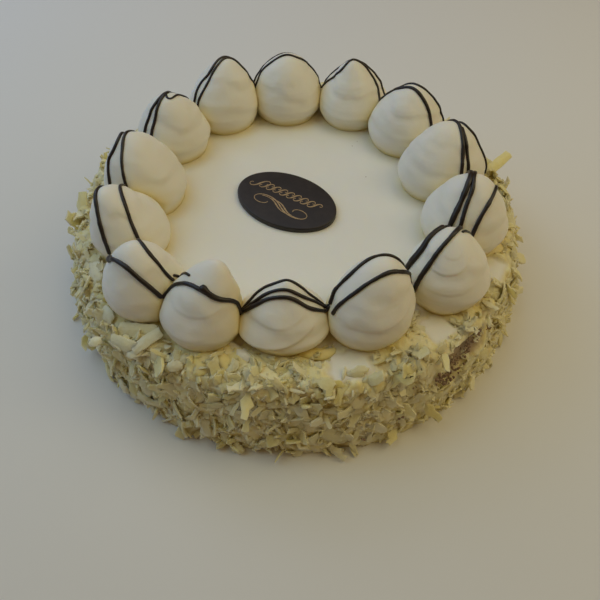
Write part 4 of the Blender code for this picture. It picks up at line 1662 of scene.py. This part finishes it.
@dataclass
class Plaque:
    """The oval plaque of dark chocolate with its gold scrollwork."""

    top_height: float
    chocolate: ChocolateFinish
    gold: GoldFinish
    length: float = 0.0535
    width: float = 0.0364
    thickness: float = 0.0026
    edge: float = 0.0007  # radius of its rounded edge
    centre: tuple[float, float] = (-0.0050, -0.0055)
    turn: float = -30.0
    dome: float = 0.0004  # how far its middle bulges
    sunk: float = 0.0002  # how far its foot goes into the cream
    sides: int = 160
    edge_steps: int = 6
    rings: tuple[float, ...] = (0.93, 0.85, 0.7, 0.5, 0.3, 0.12)  # rows on its face, as shares of its size
    proud: float = 0.00008  # how far the gold stands up
    rooted: float = 0.0001  # how far it goes in
    scrolls: int = 9
    scroll_pitch: float = 0.0040
    scroll_length: float = 0.0130
    first_taller: float = 1.4
    row_pen: Pen = Pen(0.00034, 0.00060, 1.5)
    flourish_pen: Pen = Pen(0.00036, 0.00034, 1.6)
    row_start: tuple[float, float] = (-0.0172, 0.0030)
    flourish_centre: tuple[float, float] = (0.0008, -0.0066)

    def on_cake(self, points: np.ndarray) -> np.ndarray:
        """Move points from the plaque's own frame to the cake's top."""
        spin = np.array(Matrix.Rotation(math.radians(self.turn), 3, "Z"))
        return points @ spin.T + np.array((*self.centre, self.top_height + REST_GAP))

    def face_height(self, x: np.ndarray, y: np.ndarray) -> np.ndarray:
        """Height of the plaque's face above its foot."""
        out = np.clip((x / (self.length / 2)) ** 2 + (y / (self.width / 2)) ** 2, 0, 1)
        return self.thickness - self.dome * out

    def build(self) -> None:
        """Make the plaque and its scrollwork."""
        self.build_body()
        gold = self.gold.material()
        self.add_lines("plaque_scroll_row", self.row(), self.row_pen, gold)
        self.add_lines("plaque_flourish", self.flourish(), self.flourish_pen, gold)

    def build_body(self) -> None:
        """Make the oval body."""
        turns = np.linspace(0, FULL_TURN, self.sides, endpoint=False)
        side_top = self.thickness - self.dome - self.edge
        profile = [(0.0, -REST_GAP - self.sunk), (0.0, self.edge * 0.4), (0.0, side_top)]
        for step in range(1, self.edge_steps + 1):
            angle = QUARTER * step / self.edge_steps
            profile.append((self.edge * (1 - math.cos(angle)), side_top + self.edge * math.sin(angle)))
        points: list[Any] = []
        for inset, height in profile:
            long, wide = self.length / 2 - inset, self.width / 2 - inset
            points += [(long * math.cos(turn), wide * math.sin(turn), height) for turn in turns]
        for share in self.rings:
            x = share * (self.length / 2 - self.edge) * np.cos(turns)
            y = share * (self.width / 2 - self.edge) * np.sin(turns)
            points += list(zip(x, y, self.face_height(x, y)))
        count = len(points) // self.sides
        faces = [*grid_faces(count, self.sides), tuple(reversed(range(self.sides)))]
        faces.append(tuple(range((count - 1) * self.sides, count * self.sides)))
        placed, material = self.on_cake(np.array(points)), self.chocolate.material()
        add_piece("plaque_oval", placed, faces, material, Slot.CHOCOLATE, "chocolate_plaque")

    @staticmethod
    def scroll(length: float, slant: float, wind: float, power: float, count: int = 90) -> np.ndarray:
        """An S-shaped line whose two ends wind up.

        Args:
            length: Length of the line.
            slant: Heading of its middle, in degrees.
            wind: How far each end turns, in radians.
            power: How late it turns: the greater, the straighter its middle.
            count: Points on the line.

        Returns:
            Points in the plane, its middle at the origin.
        """
        heading = math.radians(slant) + wind * np.abs(np.linspace(-1, 1, count)) ** power
        points = np.cumsum(np.stack([np.cos(heading), np.sin(heading)], 1) * (length / (count - 1)), axis=0)
        return points - points[count // 2]

    def add_lines(self, name: str, lines: Sequence[np.ndarray], pen: Pen, gold: bpy.types.Material) -> None:
        """Make one piece of several thin raised lines.

        Args:
            name: The piece's name.
            lines: Points of each line in the plane.
            pen: How wide they are.
            gold: The material.
        """
        verts: list[Any] = []
        faces: Faces = []
        for line in lines:
            forward = unit(np.gradient(line, axis=0))
            aside = np.stack([-forward[:, 1], forward[:, 0]], 1) * (pen.widths(len(line)) / 2)[:, None]
            rails = []
            for sign, lift in ((1, -self.rooted), (1, self.proud), (-1, self.proud), (-1, -self.rooted)):
                flat = line + aside * sign
                rails.append(np.column_stack([flat, self.face_height(flat[:, 0], flat[:, 1]) + lift]))
            faces += [tuple(len(verts) + number for number in face) for face in tube_faces(len(line), 4)]
            verts += list(self.on_cake(np.stack(rails, 1).reshape(-1, 3)))
        add_piece(name, verts, faces, gold, sharp=40.0)

    def row(self) -> list[np.ndarray]:
        """Lines of the row of small scrolls, of which the first is the tallest."""
        lines = []
        for index in range(self.scrolls):
            place = np.array((self.row_start[0] + self.scroll_pitch * index, self.row_start[1]))
            tall = self.first_taller if index == 0 else 1.0
            lines.append(self.scroll(self.scroll_length * tall, 60, -4.8, 2.4) + place)
        return lines

    def flourish(self) -> list[np.ndarray]:
        """Lines of the flourish: three slanting strokes between wound ends."""
        lines = []
        for length, wind, shift in ((0.066, 5.8, 0.0), (0.023, 1.4, 0.0024), (0.023, 1.4, -0.0024)):
            line = self.scroll(length, -50, wind, 1.7) * (1, 0.60)
            lines.append(line + np.array((self.flourish_centre[0] + shift, self.flourish_centre[1])))
        return lines


@dataclass(frozen=True)
class SoftLight:
    """A square soft light aimed at the cake, with its power in watts."""

    name: str
    place: Place
    size: float
    power: float
    colour: Colour


LIGHTS = (
    SoftLight("lamp_low", (0.82, 0.0, 0.57), 0.5, 1.0, (1.0, 0.90, 0.60)),
    SoftLight("lamp_high", (0.47, 0.0, 0.88), 0.6, 1.72, (1.0, 0.87, 0.48)),
    SoftLight("back_wall", (-0.58, 0.58, 0.57), 0.5, 1.5, (0.60, 0.73, 1.0)),
    SoftLight("ceiling", (0.0, 0.47, 0.88), 0.6, 0.9, (0.80, 0.89, 1.0)),
    SoftLight("window_low", (-0.82, 0.0, 0.57), 0.5, 1.1, (0.22, 0.55, 1.0)),
    SoftLight("window_high", (-0.47, 0.0, 0.88), 0.6, 1.1, (0.73, 1.0, 1.0)),
)


@dataclass
class Studio:
    """The floor, the soft lights and the camera."""

    finish: FloorFinish
    floor_reach: float = 4.0
    focus: Place = (0, 0, 0.04)  # what the lights aim at
    room_colour: Colour = (1.0, 0.58, 0.19)
    room_strength: float = 0.118
    eye: Place = (0.0032, -0.2035, 0.2292)  # the camera's place, and its directions
    right: Place = (0.9999, 0.0137, 0.0073)
    up: Place = (-0.0154, 0.8061, 0.5916)
    lens: float = 31.988  # in millimetres on this sensor
    sensor: float = 36.0

    def build(self) -> None:
        """Make the floor, the lights and the camera."""
        self.build_floor()
        for light in LIGHTS:
            self.add_light(light)
        world = bpy.data.worlds.new("soft_room")
        world.use_nodes = True
        background = world.node_tree.nodes["Background"]
        background.inputs["Color"].default_value = (*self.room_colour, 1.0)
        background.inputs["Strength"].default_value = self.room_strength
        bpy.context.scene.world = world
        bpy.context.scene.view_settings.view_transform = "Standard"
        self.build_camera()

    def build_floor(self) -> None:
        """Make the floor, level with the cake's foot."""
        mesh, far = bpy.data.meshes.new("floor"), self.floor_reach
        mesh.from_pydata([(-far, -far, 0), (far, -far, 0), (far, far, 0), (-far, far, 0)], [], [(0, 1, 2, 3)])
        mesh.materials.append(self.finish.material())
        floor = bpy.data.objects.new("floor", mesh)
        bpy.context.scene.collection.objects.link(floor)

    def add_light(self, light: SoftLight) -> None:
        """Put one of the lights in the scene.

        Args:
            light: The light.
        """
        data = bpy.data.lights.new(light.name, "AREA")
        data.size, data.energy, data.color = light.size, light.power, light.colour
        lamp = bpy.data.objects.new(light.name, data)
        lamp.location = light.place
        lamp.rotation_mode = "QUATERNION"
        lamp.rotation_quaternion = (Vector(self.focus) - Vector(light.place)).to_track_quat("-Z", "Y")
        bpy.context.scene.collection.objects.link(lamp)

    def build_camera(self) -> None:
        """Make the camera at the photograph's viewing angle."""
        data = bpy.data.cameras.new("camera")
        data.lens, data.sensor_width, data.clip_start = self.lens, self.sensor, 0.01
        camera = bpy.data.objects.new("camera", data)
        right, up = Vector(self.right).normalized(), Vector(self.up)
        back = right.cross(up).normalized()
        turn = Matrix((right, back.cross(right), back)).transposed().to_4x4()
        turn.translation = Vector(self.eye)
        camera.matrix_world = turn
        bpy.context.scene.collection.objects.link(camera)
        bpy.context.scene.camera = camera


def main() -> None:
    """Build the cake's looks and the studio round it."""
    logging.basicConfig(level=logging.INFO, format="%(message)s")
    top_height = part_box("chocolate_plaque")[0][2] - REST_GAP
    outline = CakeOutline(top_height)
    ring = PeakRing(top_height, CreamFinish("piped_cream"))
    ring.build()
    Drizzle(ring, ChocolateFinish("dark_chocolate")).build()
    crust = Crust(outline)
    CakeCoat(outline, ring, crust, CoatFinish("cream_coat")).build()
    ShavingCoat(outline, ring, crust, ShavingFinish("white_chocolate")).build()
    RimShavings(ShavingFinish("rim_white_chocolate")).build()
    RimSmears(CreamFinish("wiped_cream")).build()
    SpongeCrumbs(outline, crust, SpongeFinish("brown_sponge")).build()
    Plaque(top_height, ChocolateFinish("plaque_chocolate", roughness=0.42), GoldFinish("gold_ink")).build()
    Studio(FloorFinish("pale_floor")).build()


if __name__ == "__main__":
    main()
